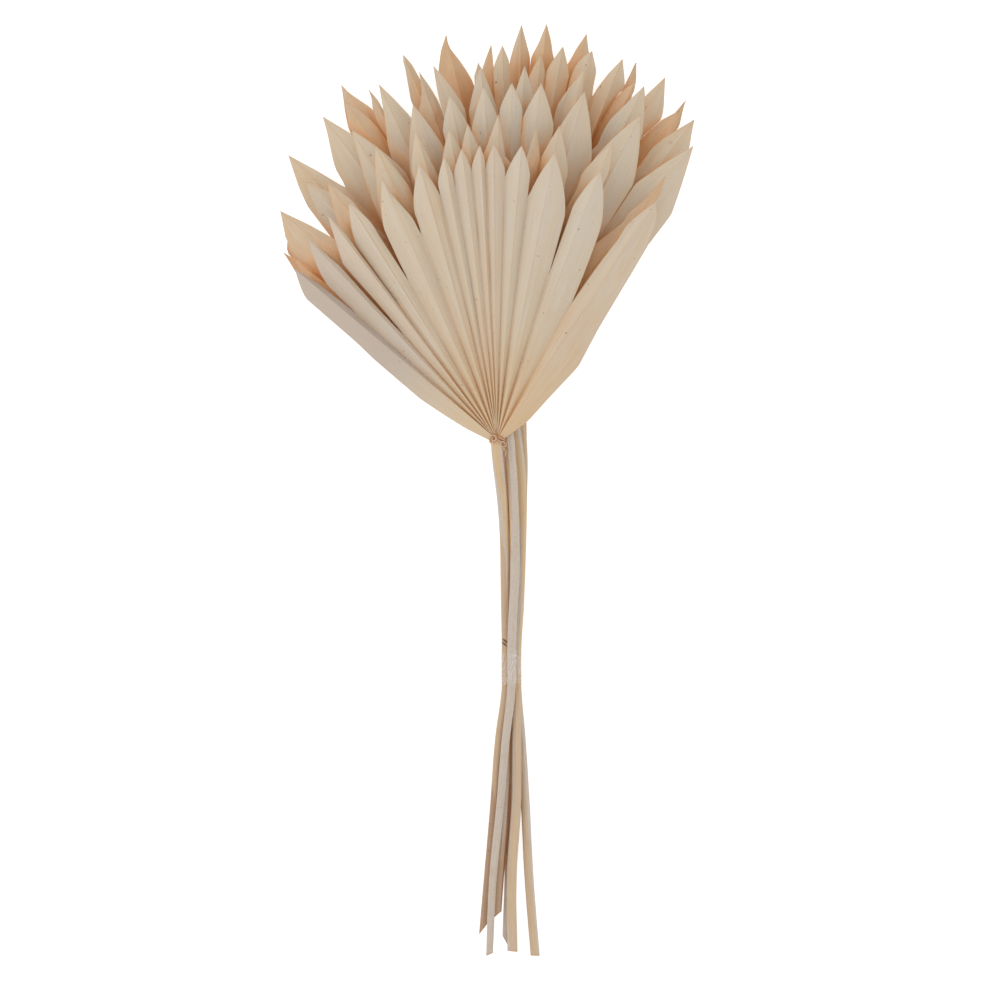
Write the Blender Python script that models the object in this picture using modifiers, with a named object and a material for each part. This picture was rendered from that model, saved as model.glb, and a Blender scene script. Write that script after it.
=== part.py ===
# Bunch of six dried, sun-cut palm fan leaves on their stems, bound at the waist by clear film.
# It lies on the ground plane z = 0: tips towards +Y, stem ends towards -Y, leaf 1 on top of the stack.
# Every leaf is one closed body: a pleated fan, a knobbly hub and a petiole, joined by a Boolean union.
# Lengths are written in millimetres and multiplied by MM. The origin is under the middle of the bunch.

import math

import bmesh
import bpy
from mathutils import Vector

MM = 0.001

# Stack of leaves: they fan upwards from the tie, so the gap between neighbours grows towards the tips
TIE_Y = -99.1
STACK_GAP_AT_TIE = 2.0
STACK_GAP_SLOPE = 0.036
LOWEST_LEAF_AT_HUB = 8.0
LOWEST_LEAF_RISE = 0.062
LOWEST_HUB_DISTANCE = 197.0
DROOP = 15.8
DROOP_HALF_WIDTH = 100.0
DROOP_CENTRE_X = 15.0

# Blades
BLADE_THICKNESS = 0.64
MOST_UPRIGHT_THICKNESS = 1.9
LAMINA_HALF_ANGLE = 6.4
LAMINA_HALF_WIDTH = 11.2
LEAST_FOLD = 0.30
MOST_SLOPE = 0.62
SLOPE_AT_HUB = 1.1
SLOPE_UNTIL = 62.0
SEAM_CLEARANCE = 0.35
LAYER_CLEARANCE = 1.0
FAN_INNER_RADIUS = 2.7
EDGE_READ_AT = 130.0
TIP_LENGTH = 2.7
ROWS = (0.0, 0.10, 0.24, 0.38, 0.49, 0.59, 0.68, 0.77, 0.85, 0.91, 0.96, 1.0)

# Hub and petiole
HUB_SEMI_AXES = (4.3, 3.8, 2.5)
PETIOLE_PROFILE = ((-1.2, -1.8), (1.2, -1.8), (2.45, -0.8), (2.6, 0.5),
                   (1.3, 1.5), (-0.4, 1.8), (-2.0, 1.2), (-2.6, -0.1))
PETIOLE_WIDTH = 5.2
END_LENGTH = 150.0

# Clear film tie
TIE_LENGTH = 18.0
TIE_INNER_SEMI_AXES = (6.1, 7.8)
TIE_WALL = 0.5
TIE_FLARE = 0.05
TIE_CENTRE = (13.4, TIE_Y, 11.5)

# Each leaf: hub place (x, y), its colour, and its segments from left to right. A segment gives the bearing
# of its midrib in degrees from +X, its reach from the hub, the bearings of its left and right edges at
# EDGE_READ_AT, and the radius from which it is slit from the next one on its right.
# "left_edge" and "right_edge" are the fan's outer edges: (radius, distance from the outer midrib).
# "roundness" is how round the tips are; "tips" lists halves that narrow over a length of their own.
# "edges" lists the halves whose free edge is given point by point: (radius, distance from the midrib).
# "stem" lists its points (x, y, z) from the cut end past the tie, "rise" those (x, y) from there to the hub,
# between which the stem rises evenly. "end_size" is its size at the cut end, "neck" its size at the hub and the
# length over which it tapers to that, and "slant" is how much farther up the cut's right side lies than its left.
LEAVES = {
    "palm_leaf_1": {
        "hub": (5.3, 28.0), "roundness": 1.3, "colour": (0.66, 0.56, 0.44),
        "segments": ((139.8, 147.5, 143.6, 138.8, 106), (133.2, 154, 137.6, 132.1, 78),
                     (127.0, 157, 131.3, 126.3, 92), (122.0, 156, 126.0, 120.0, 101),
                     (113.7, 159, 118.3, 110.4, 121), (105.8, 159.5, 110.0, 103.0, 139),
                     (100.6, 160, 103.1, 99.4, 141), (96.9, 163, 99.4, 95.4, 148),
                     (93.3, 164, 95.3, 92.5, 150), (90.6, 164, 92.4, 88.2, 146),
                     (85.2, 164, 88.2, 82.8, 136), (78.6, 162.5, 82.8, 73.1, 96),
                     (68.9, 160.5, 72.0, 63.8, 86), (56.2, 159, 58.9, 52.0, 0)),
        "left_edge": ((0, 2.0), (5, 3.4), (17, 6.3), (29, 8.1), (47, 10.2), (80, 10.0), (95, 9.1), (132, 8.6)),
        "right_edge": ((0, 2.0), (17, 8.4), (35, 11.0), (59, 15.0), (83, 12.5), (119, 10.7), (145, 9.0)),
        "tips": {(0, -1): 16.0, (0, 1): 18.0},
        "edges": {(4, 1): ((132, 6.6), (143.7, 2.9), (150, 0.8)), (13, 1): ((137.8, 9.6), (149.3, 6.6), (154.2, 3.9))},
        "stem": ((-2.4, -245.5, 2.2), (0.0, -218, 2.6), (3.9, -174, 6.2), (6.5, -140, 10.9), (10.5, -109, 13.55),
                 (10.5, -90, 13.55), (10.2, -70, 15.2)),
        "rise": ((9.9, -52), (9.7, -34), (8.4, -6), (6.4, 14)),
        "end_size": 0.8, "neck": (1.45, 55.0), "slant": 8.2,
    },
    "palm_leaf_2": {
        "hub": (7.0, 43.7), "roundness": 1.1, "colour": (0.66, 0.45, 0.28),
        "segments": ((143.7, 150, 147.0, 143.1, 128), (137.6, 166, 143.0, 133.6, 120),
                     (127.0, 160, 131.0, 124.8, 96), (115.1, 164, 121.5, 112.0, 110),
                     (106.7, 163.5, 110.3, 104.5, 124), (100.2, 160, 103.0, 98.4, 138),
                     (96.4, 161, 98.3, 94.5, 142), (90.3, 165, 93.3, 88.9, 136),
                     (82.7, 159, 84.5, 80.9, 130), (78.2, 162.5, 81.0, 74.0, 112),
                     (67.2, 163, 71.0, 65.5, 104), (54.8, 160, 56.6, 53.8, 0)),
        "left_edge": ((0, 2.0), (20, 5.0), (60, 8.0), (131, 8.4)),
        "right_edge": ((0, 1.5), (20, 3.6), (60, 4.4), (131, 3.2)),
        "tips": {},
        "edges": {(0, -1): ((137.4, 5.0), (143.4, 2.5)), (1, -1): ((145.3, 12.2), (154.2, 8.9), (159.5, 4.7)),
                  (1, 1): ((132, 9.1), (148.8, 5.2)), (4, 1): ((137.8, 4.5), (146.4, 3.0), (155.6, 1.7)),
                  (11, -1): ((125.4, 4.8), (131.9, 5.3), (138, 3.5), (144.1, 1.6), (149.7, 1.4))},
        "stem": ((1.1, -259.6, 6.8), (3.0, -218, 8.6), (7.3, -174, 11.4), (10.1, -140, 14.6), (13.4, -109, 17.1),
                 (13.4, -90, 17.1), (14.2, -70, 19.8)),
        "rise": ((15.1, -52), (15.4, -34), (14.7, -6), (13.1, 18), (9.2, 34)),
        "end_size": 0.8, "neck": (1.3, 100.0), "slant": 2.4,
    },
    "palm_leaf_3": {
        "hub": (9.8, 58.8), "roundness": 1.1, "colour": (0.70, 0.58, 0.45),
        "segments": ((146.7, 145.5, 149.6, 144.9, 100), (134.5, 159, 138.3, 131.5, 104),
                     (121.1, 166, 125.6, 115.0, 104), (108.2, 164, 115.0, 103.8, 118),
                     (100.8, 164, 103.8, 98.1, 132),
                     (94.1, 166, 97.4, 91.3, 138), (88.7, 168, 91.2, 86.0, 138),
                     (83.1, 169, 86.6, 78.9, 128), (74.8, 169, 79.5, 68.6, 112),
                     (63.3, 168, 68.6, 57.3, 104), (51.7, 169.5, 57.0, 47.0, 0)),
        "left_edge": ((0, 1.5), (20, 3.6), (60, 5.6), (132, 7.4)),
        "right_edge": ((0, 2.0), (20, 7.0), (60, 12.6), (110, 14.4), (136, 14.0)),
        "tips": {},
        "edges": {(0, -1): ((133, 7.4), (142.6, 5.0)), (2, -1): ((136.1, 8.8), (147.1, 5.4), (158.5, 2.5)),
                  (10, -1): ((133.1, 12.4), (151.5, 6.9))},
        "stem": ((13.9, -257.9, 5.9), (13.4, -218, 6.0), (16.0, -174, 8.2), (16.3, -140, 11.6),
                 (16.3, -109, 13.55), (16.3, -90, 13.55)),
        "rise": ((17.9, -62), (18.8, -34), (19.2, -6), (18.0, 22), (13.2, 46)),
        "end_size": 1.1, "neck": (1.1, 36.0), "slant": -0.6,
    },
    "palm_leaf_4": {
        "hub": (11.5, 71.7), "roundness": 1.1, "colour": (0.68, 0.54, 0.38),
        "segments": ((136.8, 168.5, 142.8, 133.2, 133), (127.1, 171.5, 132.8, 121.5, 104),
                     (115.0, 170.5, 120.1, 111.0, 112), (104.2, 170, 105.6, 99.7, 124),
                     (95.3, 165, 99.0, 92.2, 132), (86.8, 165, 89.3, 83.9, 130),
                     (81.5, 140, 83.9, 79.3, 122), (75.3, 168, 79.3, 74.5, 116),
                     (63.7, 171, 67.6, 59.0, 108), (52.4, 170.5, 55.8, 49.0, 0)),
        "left_edge": ((0, 2.0), (20, 8.0), (60, 14.0), (110, 16.6)),
        "right_edge": ((0, 2.0), (20, 5.4), (60, 8.6), (140, 9.2)),
        "tips": {},
        "edges": {(0, -1): ((118.2, 17.3), (141.1, 13.4), (152.4, 8.7)), (0, 1): ((133.6, 8.3), (150.4, 4.7)),
                  (1, -1): ((133.2, 13.2), (143.4, 12.0), (147.7, 10.5), (162.2, 3.7)),
                  (1, 1): ((139.3, 12.6), (155.2, 6.4)), (2, 1): ((147.5, 8.2), (159.2, 4.4)),
                  (2, -1): ((130, 11.1), (138, 9.8), (146.6, 7.0), (156.2, 3.8)),
                  (3, -1): ((135.4, 1.2), (149.4, 1.5), (157.4, 1.2)),
                  (8, -1): ((130, 8.7), (137.8, 9.4), (145.5, 8.9), (153.8, 6.1), (162.8, 3.0)),
                  (8, 1): ((146.7, 11.2), (155.1, 8.0), (166.4, 3.0)),
                  (9, -1): ((132.4, 8.0), (142.1, 9.1), (151.1, 7.5), (161, 3.8)),
                  (9, 1): ((146.1, 9.0), (156.8, 7.2), (163.2, 3.6))},
        "stem": ((26.6, -260.4, 1.7), (23.3, -218, 2.0), (21.0, -174, 4.2), (18.8, -140, 7.2),
                 (16.3, -109, 9.45), (16.3, -90, 9.45)),
        "rise": ((17.9, -62), (18.9, -34), (19.5, -6), (19.6, 24), (16.2, 52)),
        "end_size": 1.0, "neck": (1.1, 36.0), "slant": -0.6,
    },
    "palm_leaf_5": {
        "hub": (13.2, 85.1), "roundness": 1.1, "colour": (0.60, 0.42, 0.28),
        "segments": ((125.1, 161.5, 127.5, 122.6, 118), (119.9, 160, 121.2, 119.3, 118),
                     (109.1, 157, 112.3, 106.8, 122), (102.8, 128, 106.6, 98.4, 118),
                     (96.8, 154.5, 98.3, 96.0, 124), (91.7, 163, 93.8, 90.2, 126),
                     (87.6, 140, 90.0, 86.1, 118), (83.9, 159, 86.0, 82.3, 122),
                     (79.9, 165, 83.0, 77.5, 126), (74.2, 166, 77.5, 71.5, 142),
                     (68.2, 167.5, 71.3, 67.5, 126), (64.1, 159, 67.1, 63.1, 122),
                     (59.4, 169, 60.9, 56.9, 118), (53.4, 158, 56.7, 52.5, 0)),
        "left_edge": ((0, 1.5), (20, 4.4), (60, 7.0), (138, 8.4)),
        "right_edge": ((0, 1.5), (20, 2.8), (60, 3.4), (148, 2.4)),
        "tips": {},
        "edges": {(0, -1): ((146.3, 7.5), (155, 3.4)), (0, 1): ((139.9, 6.5), (152.7, 3.9)),
                  (1, -1): ((142.3, 4.8), (149.2, 3.4), (155.4, 0.6)),
                  (2, -1): ((135.6, 8.2), (139.8, 5.0), (147.6, 1.7)), (2, 1): ((137.6, 4.9), (147.2, 2.9)),
                  (5, 1): ((147.3, 3.8), (154.5, 3.4)),
                  (9, -1): ((141.9, 7.4), (148.3, 7.6), (156.3, 6.6), (162.6, 3.4)),
                  (9, 1): ((147.2, 6.0), (155.8, 5.4), (158.8, 3.9)),
                  (10, -1): ((148.1, 6.8), (156.9, 4.3)),
                  (10, 1): ((130, 1.7), (143.3, 3.4), (151.9, 6.6), (154.2, 6.8), (157.7, 5.1)),
                  (11, -1): ((129.8, 7.4), (143.3, 6.65), (151.8, 3.9)),
                  (12, -1): ((147.1, 4.4), (154.4, 4.2), (161, 2.2)),
                  (12, 1): ((133.2, 6.0), (140, 8.0), (147.6, 10.3), (153.4, 8.2), (160.7, 4.4)),
                  (13, -1): ((133.2, 7.8), (139.6, 6.65), (147.6, 5.05))},
        "stem": ((5.4, -237.5, 4.0), (6.8, -218, 4.4), (10.6, -174, 6.2), (11.5, -140, 7.0),
                 (10.5, -109, 9.45), (10.5, -90, 9.45)),
        "rise": ((10.7, -62), (11.4, -34), (16.5, -6), (19.2, 22), (18.2, 50), (14.9, 72)),
        "end_size": 0.85, "neck": (1.1, 36.0), "slant": 5.0,
    },
    "palm_leaf_6": {
        "hub": (14.8, 98.0), "roundness": 1.1, "colour": (0.50, 0.33, 0.21),
        "segments": ((126.9, 161, 131.9, 124.4, 112), (120.1, 135, 124.2, 116.1, 110),
                     (113.1, 158, 115.9, 111.5, 112), (103.7, 160.5, 107.0, 100.0, 114),
                     (94.8, 151.5, 97.5, 94.7, 118), (88.5, 162, 91.1, 86.3, 122),
                     (83.6, 163.5, 86.3, 81.1, 138), (75.5, 162, 77.7, 73.9, 118),
                     (68.6, 134, 73.7, 64.3, 114), (64.1, 156.5, 64.9, 62.0, 116),
                     (57.2, 138, 61.3, 52.8, 114), (51.3, 153.5, 51.9, 49.0, 0)),
        "left_edge": ((0, 2.0), (20, 6.4), (60, 11.2), (130, 12.5)),
        "right_edge": ((0, 1.5), (20, 3.8), (60, 6.0), (138, 6.4)),
        "tips": {},
        "edges": {(0, -1): ((136, 12.3), (140, 11), (148, 7.1), (156, 2.5)),
                  (0, 1): ((140, 5.7), (149.5, 2.4), (155.4, 0.5)),
                  (2, -1): ((132, 6.2), (141.7, 4.0), (151.2, 1.8), (155.8, 1.4)),
                  (2, 1): ((130.2, 4.4), (142.9, 3.2), (151.2, 2.4)),
                  (3, -1): ((137.9, 10.1), (144.3, 8.0), (152.8, 4.8)),
                  (3, 1): ((131.7, 8.5), (137.2, 7.0), (144.8, 4.2), (153.3, 0.3)),
                  (4, -1): ((137.7, 6.4), (144.7, 3.3)),
                  (5, -1): ((142.1, 5.9), (151.7, 3.4)), (5, 1): ((144.1, 5.1), (152.4, 2.8)),
                  (6, -1): ((144.1, 6.4), (151.5, 3.4)), (6, 1): ((145.5, 5.7), (154.2, 3.6)),
                  (7, -1): ((143.7, 5.6), (152.4, 3.5)), (7, 1): ((145.4, 5.2), (150.9, 4.4), (155.1, 2.7)),
                  (9, -1): ((142.3, 0.4), (149.3, 0.3)), (9, 1): ((141.7, 5.9), (148.2, 4.0)),
                  (11, -1): ((140, 0.4), (148, 0.2)), (11, 1): ((140.1, 6.3), (147.2, 2.7))},
        "stem": ((10.8, -253.4, 1.7), (12.0, -218, 1.9), (12.6, -174, 2.2), (13.2, -140, 3.2),
                 (13.4, -109, 5.9), (13.4, -90, 5.9)),
        "rise": ((14.8, -62), (15.4, -34), (16.4, -6), (17.4, 22), (17.0, 60), (15.4, 84)),
        "end_size": 1.0, "neck": (1.1, 36.0), "slant": -8.4,
    },
}

LEAF_ROUGHNESS = 0.75
FILM_COLOUR = (0.90, 0.90, 0.88)


def clear_scene():
    for thing in list(bpy.data.objects):
        bpy.data.objects.remove(thing, do_unlink=True)


def new_collection(name):
    collection = bpy.data.collections.new(name)
    bpy.context.scene.collection.children.link(collection)
    return collection


def plain_material(name, colour, roughness, alpha=1.0):
    material = bpy.data.materials.new(name)
    material.use_nodes = True
    shader = material.node_tree.nodes["Principled BSDF"]
    shader.inputs["Base Color"].default_value = (*colour, 1.0)
    shader.inputs["Roughness"].default_value = roughness
    shader.inputs["Metallic"].default_value = 0.0
    shader.inputs["Alpha"].default_value = alpha
    return material


def stack_gap(y):
    # Distance between the mid surfaces of two neighbouring leaves
    return STACK_GAP_AT_TIE + STACK_GAP_SLOPE * (y - TIE_Y)


def mid_surface(x, y, place_in_stack):
    # Height of a leaf's mid surface: the same drooping sheet for all six, spread by the stack gap
    distance = y - TIE_Y
    lowest = LOWEST_LEAF_AT_HUB + LOWEST_LEAF_RISE * (distance - LOWEST_HUB_DISTANCE)
    droop = DROOP * ((x - DROOP_CENTRE_X) / DROOP_HALF_WIDTH) ** 2
    return lowest + place_in_stack * stack_gap(y) - droop


def along_line(points, x):
    # Straight-line reading of a list of (x, y) points
    for (x1, y1), (x2, y2) in zip(points, points[1:]):
        if x <= x2:
            return y1 + (y2 - y1) * max(x - x1, 0.0) / (x2 - x1)
    return points[-1][1]


class Fan:
    """Plan of one fan: where each ridge, seam and free edge lies, in millimetres."""

    def __init__(self, leaf, place_in_stack):
        self.hub = Vector(leaf["hub"])
        self.segments = leaf["segments"]
        self.outer_edges = {-1: leaf["left_edge"], 1: leaf["right_edge"]}
        self.tips = leaf["tips"]
        self.edges = leaf["edges"]
        self.roundness = leaf["roundness"]
        self.place_in_stack = place_in_stack
        self.slit_rows = [self.nearest_row(seam) for seam in range(len(self.segments) - 1)]

    def nearest_row(self, seam):
        # The row that is set on the start of the slit between a segment and the next one
        share = self.segments[seam][4] / self.segments[seam][1]
        return min(range(2, len(ROWS) - 1), key=lambda row: abs(ROWS[row] - share))

    def seam_of(self, segment, side):
        # Number of the seam on one side of a segment (-1 left, +1 right), or None at the fan's outer edge
        seam = segment if side > 0 else segment - 1
        return seam if 0 <= seam < len(self.segments) - 1 else None

    def seam_bearing(self, seam):
        return (self.segments[seam][3] + self.segments[seam + 1][2]) / 2

    def ridge_radius(self, segment, row):
        reach = self.segments[segment][1]
        return FAN_INNER_RADIUS + (reach - FAN_INNER_RADIUS) * ROWS[row]

    def edge_radius(self, segment, side, row):
        # Edge rows are spread so that one of them lies where the slit starts
        seam = self.seam_of(segment, side)
        if seam is None:
            return self.ridge_radius(segment, row)
        slit = self.segments[seam][4]
        slit_row = self.slit_rows[seam]
        if row <= slit_row:
            return FAN_INNER_RADIUS + (slit - FAN_INNER_RADIUS) * ROWS[row] / ROWS[slit_row]
        share = (ROWS[row] - ROWS[slit_row]) / (1 - ROWS[slit_row])
        return slit + (self.segments[segment][1] - slit) * share

    def room(self, segment, side, radius):
        # Plan distance from a midrib to the edge of its segment, as if the tip didn't narrow
        seam = self.seam_of(segment, side)
        if seam is None:
            return along_line(self.outer_edges[side], radius)
        bearing, _, left, right, _ = self.segments[segment]
        seam_bearing = self.seam_bearing(seam)
        slit = self.segments[seam][4]
        open_share = min(max((radius - slit) / max(EDGE_READ_AT - slit, 6.0), 0.0), 1.0)
        edge = seam_bearing + ((right if side > 0 else left) - seam_bearing) * open_share
        to_seam = radius * math.tan(math.radians(abs(seam_bearing - bearing)))
        to_edge = radius * math.tan(math.radians(max((bearing - edge) * side, 0.0)))
        return min(to_edge, to_seam - SEAM_CLEARANCE) if radius > slit else to_seam

    def tip_share(self, segment, side, radius):
        # How much of its width half a segment keeps where it narrows to the tip; a wide half narrows sooner
        own = self.room(segment, side, EDGE_READ_AT)
        other = self.room(segment, -side, EDGE_READ_AT)
        length = self.tips.get((segment, side), max(TIP_LENGTH * (own + max(own, other)) / 2, 8.0))
        past = 1 - min((self.segments[segment][1] - radius) / length, 1.0)
        return 1 - past ** self.roundness

    def half_width(self, segment, side, radius):
        # Plan distance from a midrib to the edge, with the narrowing of the tip
        seam = self.seam_of(segment, side)
        own = self.edges.get((segment, side))
        if not own or (seam is not None and radius <= self.segments[seam][4]):
            return max(self.room(segment, side, radius) * self.tip_share(segment, side, radius), 0.0)
        if seam is None:
            start = tuple(point for point in self.outer_edges[side] if point[0] < own[0][0])
        else:
            slit = self.segments[seam][4]
            start = ((slit, self.room(segment, side, slit) - SEAM_CLEARANCE),)
        return along_line((*start, *own, (self.segments[segment][1], 0.0)), radius)

    def natural_width(self, radius):
        # Width of half a segment laid flat
        return min(radius * math.tan(math.radians(LAMINA_HALF_ANGLE)), LAMINA_HALF_WIDTH)

    def fold(self, plan_width, width, y, radius):
        # Drop from ridge to edge: what is left of the blade's width once its plan width is used
        slope = MOST_SLOPE + SLOPE_AT_HUB * max(0.0, 1 - radius / SLOPE_UNTIL)
        drop = math.sqrt(max(width ** 2 - plan_width ** 2, (LEAST_FOLD * plan_width) ** 2))
        drop = min(drop, slope * plan_width)
        steep = max(1.0, drop / max(plan_width, 0.1))
        upright = min(BLADE_THICKNESS * math.sqrt(1 + steep ** 2), MOST_UPRIGHT_THICKNESS)
        return min(drop, stack_gap(y) - upright - LAYER_CLEARANCE)

    def point(self, bearing, radius, sideways=0.0):
        angle = math.radians(bearing)
        along = Vector((math.cos(angle), math.sin(angle)))
        across = Vector((along.y, -along.x))
        return self.hub + along * radius + across * sideways

    def lifted(self, place, offset):
        return Vector((place.x, place.y, mid_surface(place.x, place.y, self.place_in_stack) + offset))

    def ridge(self, segment, row):
        radius = self.ridge_radius(segment, row)
        place = self.point(self.segments[segment][0], radius)
        folds = []
        for side in (-1, 1):
            share = self.tip_share(segment, side, radius)
            plan_width = self.half_width(segment, side, radius)
            folds.append(self.fold(plan_width, self.natural_width(radius) * share, place.y, radius))
        return self.lifted(place, max(folds) / 2)

    def seam(self, seam, row):
        # Valley shared by a segment and the next one on its right
        radius = self.edge_radius(seam, 1, row)
        place = self.point(self.seam_bearing(seam), radius)
        room = (self.room(seam, 1, radius) + self.room(seam + 1, -1, radius)) / 2
        return self.lifted(place, -self.fold(room, self.natural_width(radius), place.y, radius) / 2)

    def free_edge(self, segment, side, row):
        radius = self.edge_radius(segment, side, row)
        share = self.tip_share(segment, side, radius)
        plan_width = self.half_width(segment, side, radius)
        place = self.point(self.segments[segment][0], radius, side * plan_width)
        drop = self.fold(plan_width, self.natural_width(radius) * share, place.y, radius)
        return self.lifted(place, -drop / 2)

    def place(self, column, row, side):
        last = 2 * len(self.segments)
        if column % 2:
            return self.ridge(column // 2, row)
        if row == len(ROWS) - 1:
            segment = column // 2 if side > 0 else column // 2 - 1
            return self.ridge(segment, row)
        if column == 0:
            return self.free_edge(0, -1, row)
        if column == last:
            return self.free_edge(len(self.segments) - 1, 1, row)
        seam = column // 2 - 1
        if row <= self.slit_rows[seam]:
            return self.seam(seam, row)
        if side > 0:
            return self.free_edge(seam + 1, -1, row)
        return self.free_edge(seam, 1, row)


def slit_seams(bm, fan):
    # The sheet starts as a flat grid whose x is its column and y its row; free parts are ripped apart
    slits = []
    for edge in bm.edges:
        columns = {round(v.co.x) for v in edge.verts}
        if len(columns) > 1:
            continue
        column = columns.pop()
        if column % 2 or not 0 < column < 2 * len(fan.segments):
            continue
        if min(round(v.co.y) for v in edge.verts) >= fan.slit_rows[column // 2 - 1]:
            slits.append(edge)
    bmesh.ops.split_edges(bm, edges=slits)


def thicken(bm):
    # The sheet's copy is let down, deeper where the sheet is steep, so the blade is equally thick
    bm.normal_update()
    depth = bm.verts.layers.float.new("depth")
    for vert in bm.verts:
        flattest = min(face.normal.z for face in vert.link_faces)
        vert[depth] = min(BLADE_THICKNESS / max(flattest, 0.05), MOST_UPRIGHT_THICKNESS) * MM
    grown = bmesh.ops.extrude_face_region(bm, geom=bm.faces[:], use_keep_orig=True)
    for item in grown["geom"]:
        if isinstance(item, bmesh.types.BMVert):
            item.co.z -= item[depth]
    walls = [face for face in bm.faces if len(face.verts) > 3]
    bmesh.ops.triangulate(bm, faces=walls)
    bmesh.ops.recalc_face_normals(bm, faces=bm.faces[:])


def make_fan(name, fan):
    bm = bmesh.new()
    columns = 2 * len(fan.segments)
    rows = len(ROWS) - 1
    bmesh.ops.create_grid(bm, x_segments=columns, y_segments=rows, size=0.5)
    for vert in bm.verts:
        vert.co = ((vert.co.x + 0.5) * columns, (vert.co.y + 0.5) * rows, 0.0)
    slit_seams(bm, fan)
    places = {}
    for vert in bm.verts:
        column, row = round(vert.co.x), round(vert.co.y)
        middle = sum(face.calc_center_median().x for face in vert.link_faces) / len(vert.link_faces)
        places[vert] = fan.place(column, row, middle - column) * MM
    for vert, place in places.items():
        vert.co = place
    bmesh.ops.remove_doubles(bm, verts=bm.verts[:], dist=0.000001)
    bmesh.ops.triangulate(bm, faces=bm.faces[:], quad_method="SHORT_EDGE")
    thicken(bm)
    mesh = bpy.data.meshes.new(name)
    bm.to_mesh(mesh)
    bm.free()
    return bpy.data.objects.new(name, mesh)


def make_hub(name, centre):
    bm = bmesh.new()
    bmesh.ops.create_uvsphere(bm, u_segments=12, v_segments=8, radius=1.0)
    for vert in bm.verts:
        knob = 1 + 0.10 * math.sin(5 * vert.co.x + 2 * vert.co.y) * math.cos(4 * vert.co.z)
        vert.co = Vector([c * s * knob * MM for c, s in zip(vert.co, HUB_SEMI_AXES)]) + centre
    mesh = bpy.data.meshes.new(name)
    bm.to_mesh(mesh)
    bm.free()
    return bpy.data.objects.new(name, mesh)


def petiole_section(collection):
    curve = bpy.data.curves.new("petiole_section", "CURVE")
    curve.dimensions = "2D"
    outline = curve.splines.new("POLY")
    outline.points.add(len(PETIOLE_PROFILE) - 1)
    for point, (x, z) in zip(outline.points, PETIOLE_PROFILE):
        point.co = (x * MM, z * MM, 0.0, 1.0)
    outline.use_cyclic_u = True
    section = bpy.data.objects.new("petiole_section", curve)
    section.hide_render = True
    section.display_type = "WIRE"
    collection.objects.link(section)
    return section


def stem_route(leaf, hub):
    # The stem's points from its cut end to the hub, in metres
    points = [Vector(p) * MM for p in leaf["stem"]]
    start = points[-1]
    for x, y in leaf["rise"]:
        share = (y * MM - start.y) / (hub.y - start.y)
        points.append(Vector((x * MM, y * MM, start.z + (hub.z - start.z) * share)))
    return points + [hub]


def slant_cut(bm, points, slant):
    # The ring at the cut end is moved along the stem, more towards its sides
    ahead = (points[1] - points[0]).normalized()
    right = Vector((ahead.y, -ahead.x, 0)).normalized()
    for vert in bm.verts:
        offset = vert.co - points[0]
        if offset.dot(ahead) < MM:
            vert.co += ahead * slant * offset.dot(right) / PETIOLE_WIDTH


def make_petiole(name, leaf, points, section, collection):
    # A curve through the stem's points with the angular section, made a closed mesh with welded caps
    curve = bpy.data.curves.new(name, "CURVE")
    curve.dimensions = "3D"
    curve.twist_mode = "Z_UP"
    curve.bevel_mode = "OBJECT"
    curve.bevel_object = section
    curve.use_fill_caps = True
    curve.resolution_u = 2
    spline = curve.splines.new("BEZIER")
    spline.bezier_points.add(len(points) - 1)
    total = sum((b - a).length for a, b in zip(points, points[1:]))
    neck_size, neck_length = leaf["neck"]
    run = 0.0
    for i, (knot, place) in enumerate(zip(spline.bezier_points, points)):
        run += (place - points[i - 1]).length if i else 0.0
        knot.co = place
        knot.handle_left_type = knot.handle_right_type = "AUTO"
        neck = max(0.0, 1 - (total - run) / (neck_length * MM))
        end = max(0.0, 1 - run / (END_LENGTH * MM))
        knot.radius = 1 + (neck_size - 1) * neck + (leaf["end_size"] - 1) * end
    route = bpy.data.objects.new(name, curve)
    collection.objects.link(route)
    bpy.context.view_layer.update()
    evaluated = route.evaluated_get(bpy.context.evaluated_depsgraph_get())
    mesh = bpy.data.meshes.new_from_object(evaluated)
    bm = bmesh.new()
    bm.from_mesh(mesh)
    bmesh.ops.remove_doubles(bm, verts=bm.verts[:], dist=0.00001)
    bmesh.ops.recalc_face_normals(bm, faces=bm.faces[:])
    slant_cut(bm, points, leaf["slant"])
    bm.to_mesh(mesh)
    bm.free()
    bpy.data.objects.remove(route, do_unlink=True)
    return bpy.data.objects.new(name, mesh)


def join_solids(base, others, name):
    # One Boolean union on a collection, applied, and the pieces it joined removed
    pieces = new_collection(name + "_pieces")
    for other in others:
        pieces.objects.link(other)
    union = base.modifiers.new("union", "BOOLEAN")
    union.operation = "UNION"
    union.operand_type = "COLLECTION"
    union.collection = pieces
    apply_modifiers(base)
    for other in others:
        bpy.data.objects.remove(other, do_unlink=True)
    bpy.data.collections.remove(pieces)


def apply_modifiers(thing):
    bpy.context.view_layer.update()
    evaluated = thing.evaluated_get(bpy.context.evaluated_depsgraph_get())
    mesh = bpy.data.meshes.new_from_object(evaluated)
    thing.modifiers.clear()
    thing.data = mesh


def level_underside(leaf):
    # Points that dip a hair below the ground plane are set on it, which leaves small flat spots to rest on
    for vertex in leaf.data.vertices:
        vertex.co.z = max(vertex.co.z, 0.0)


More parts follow.
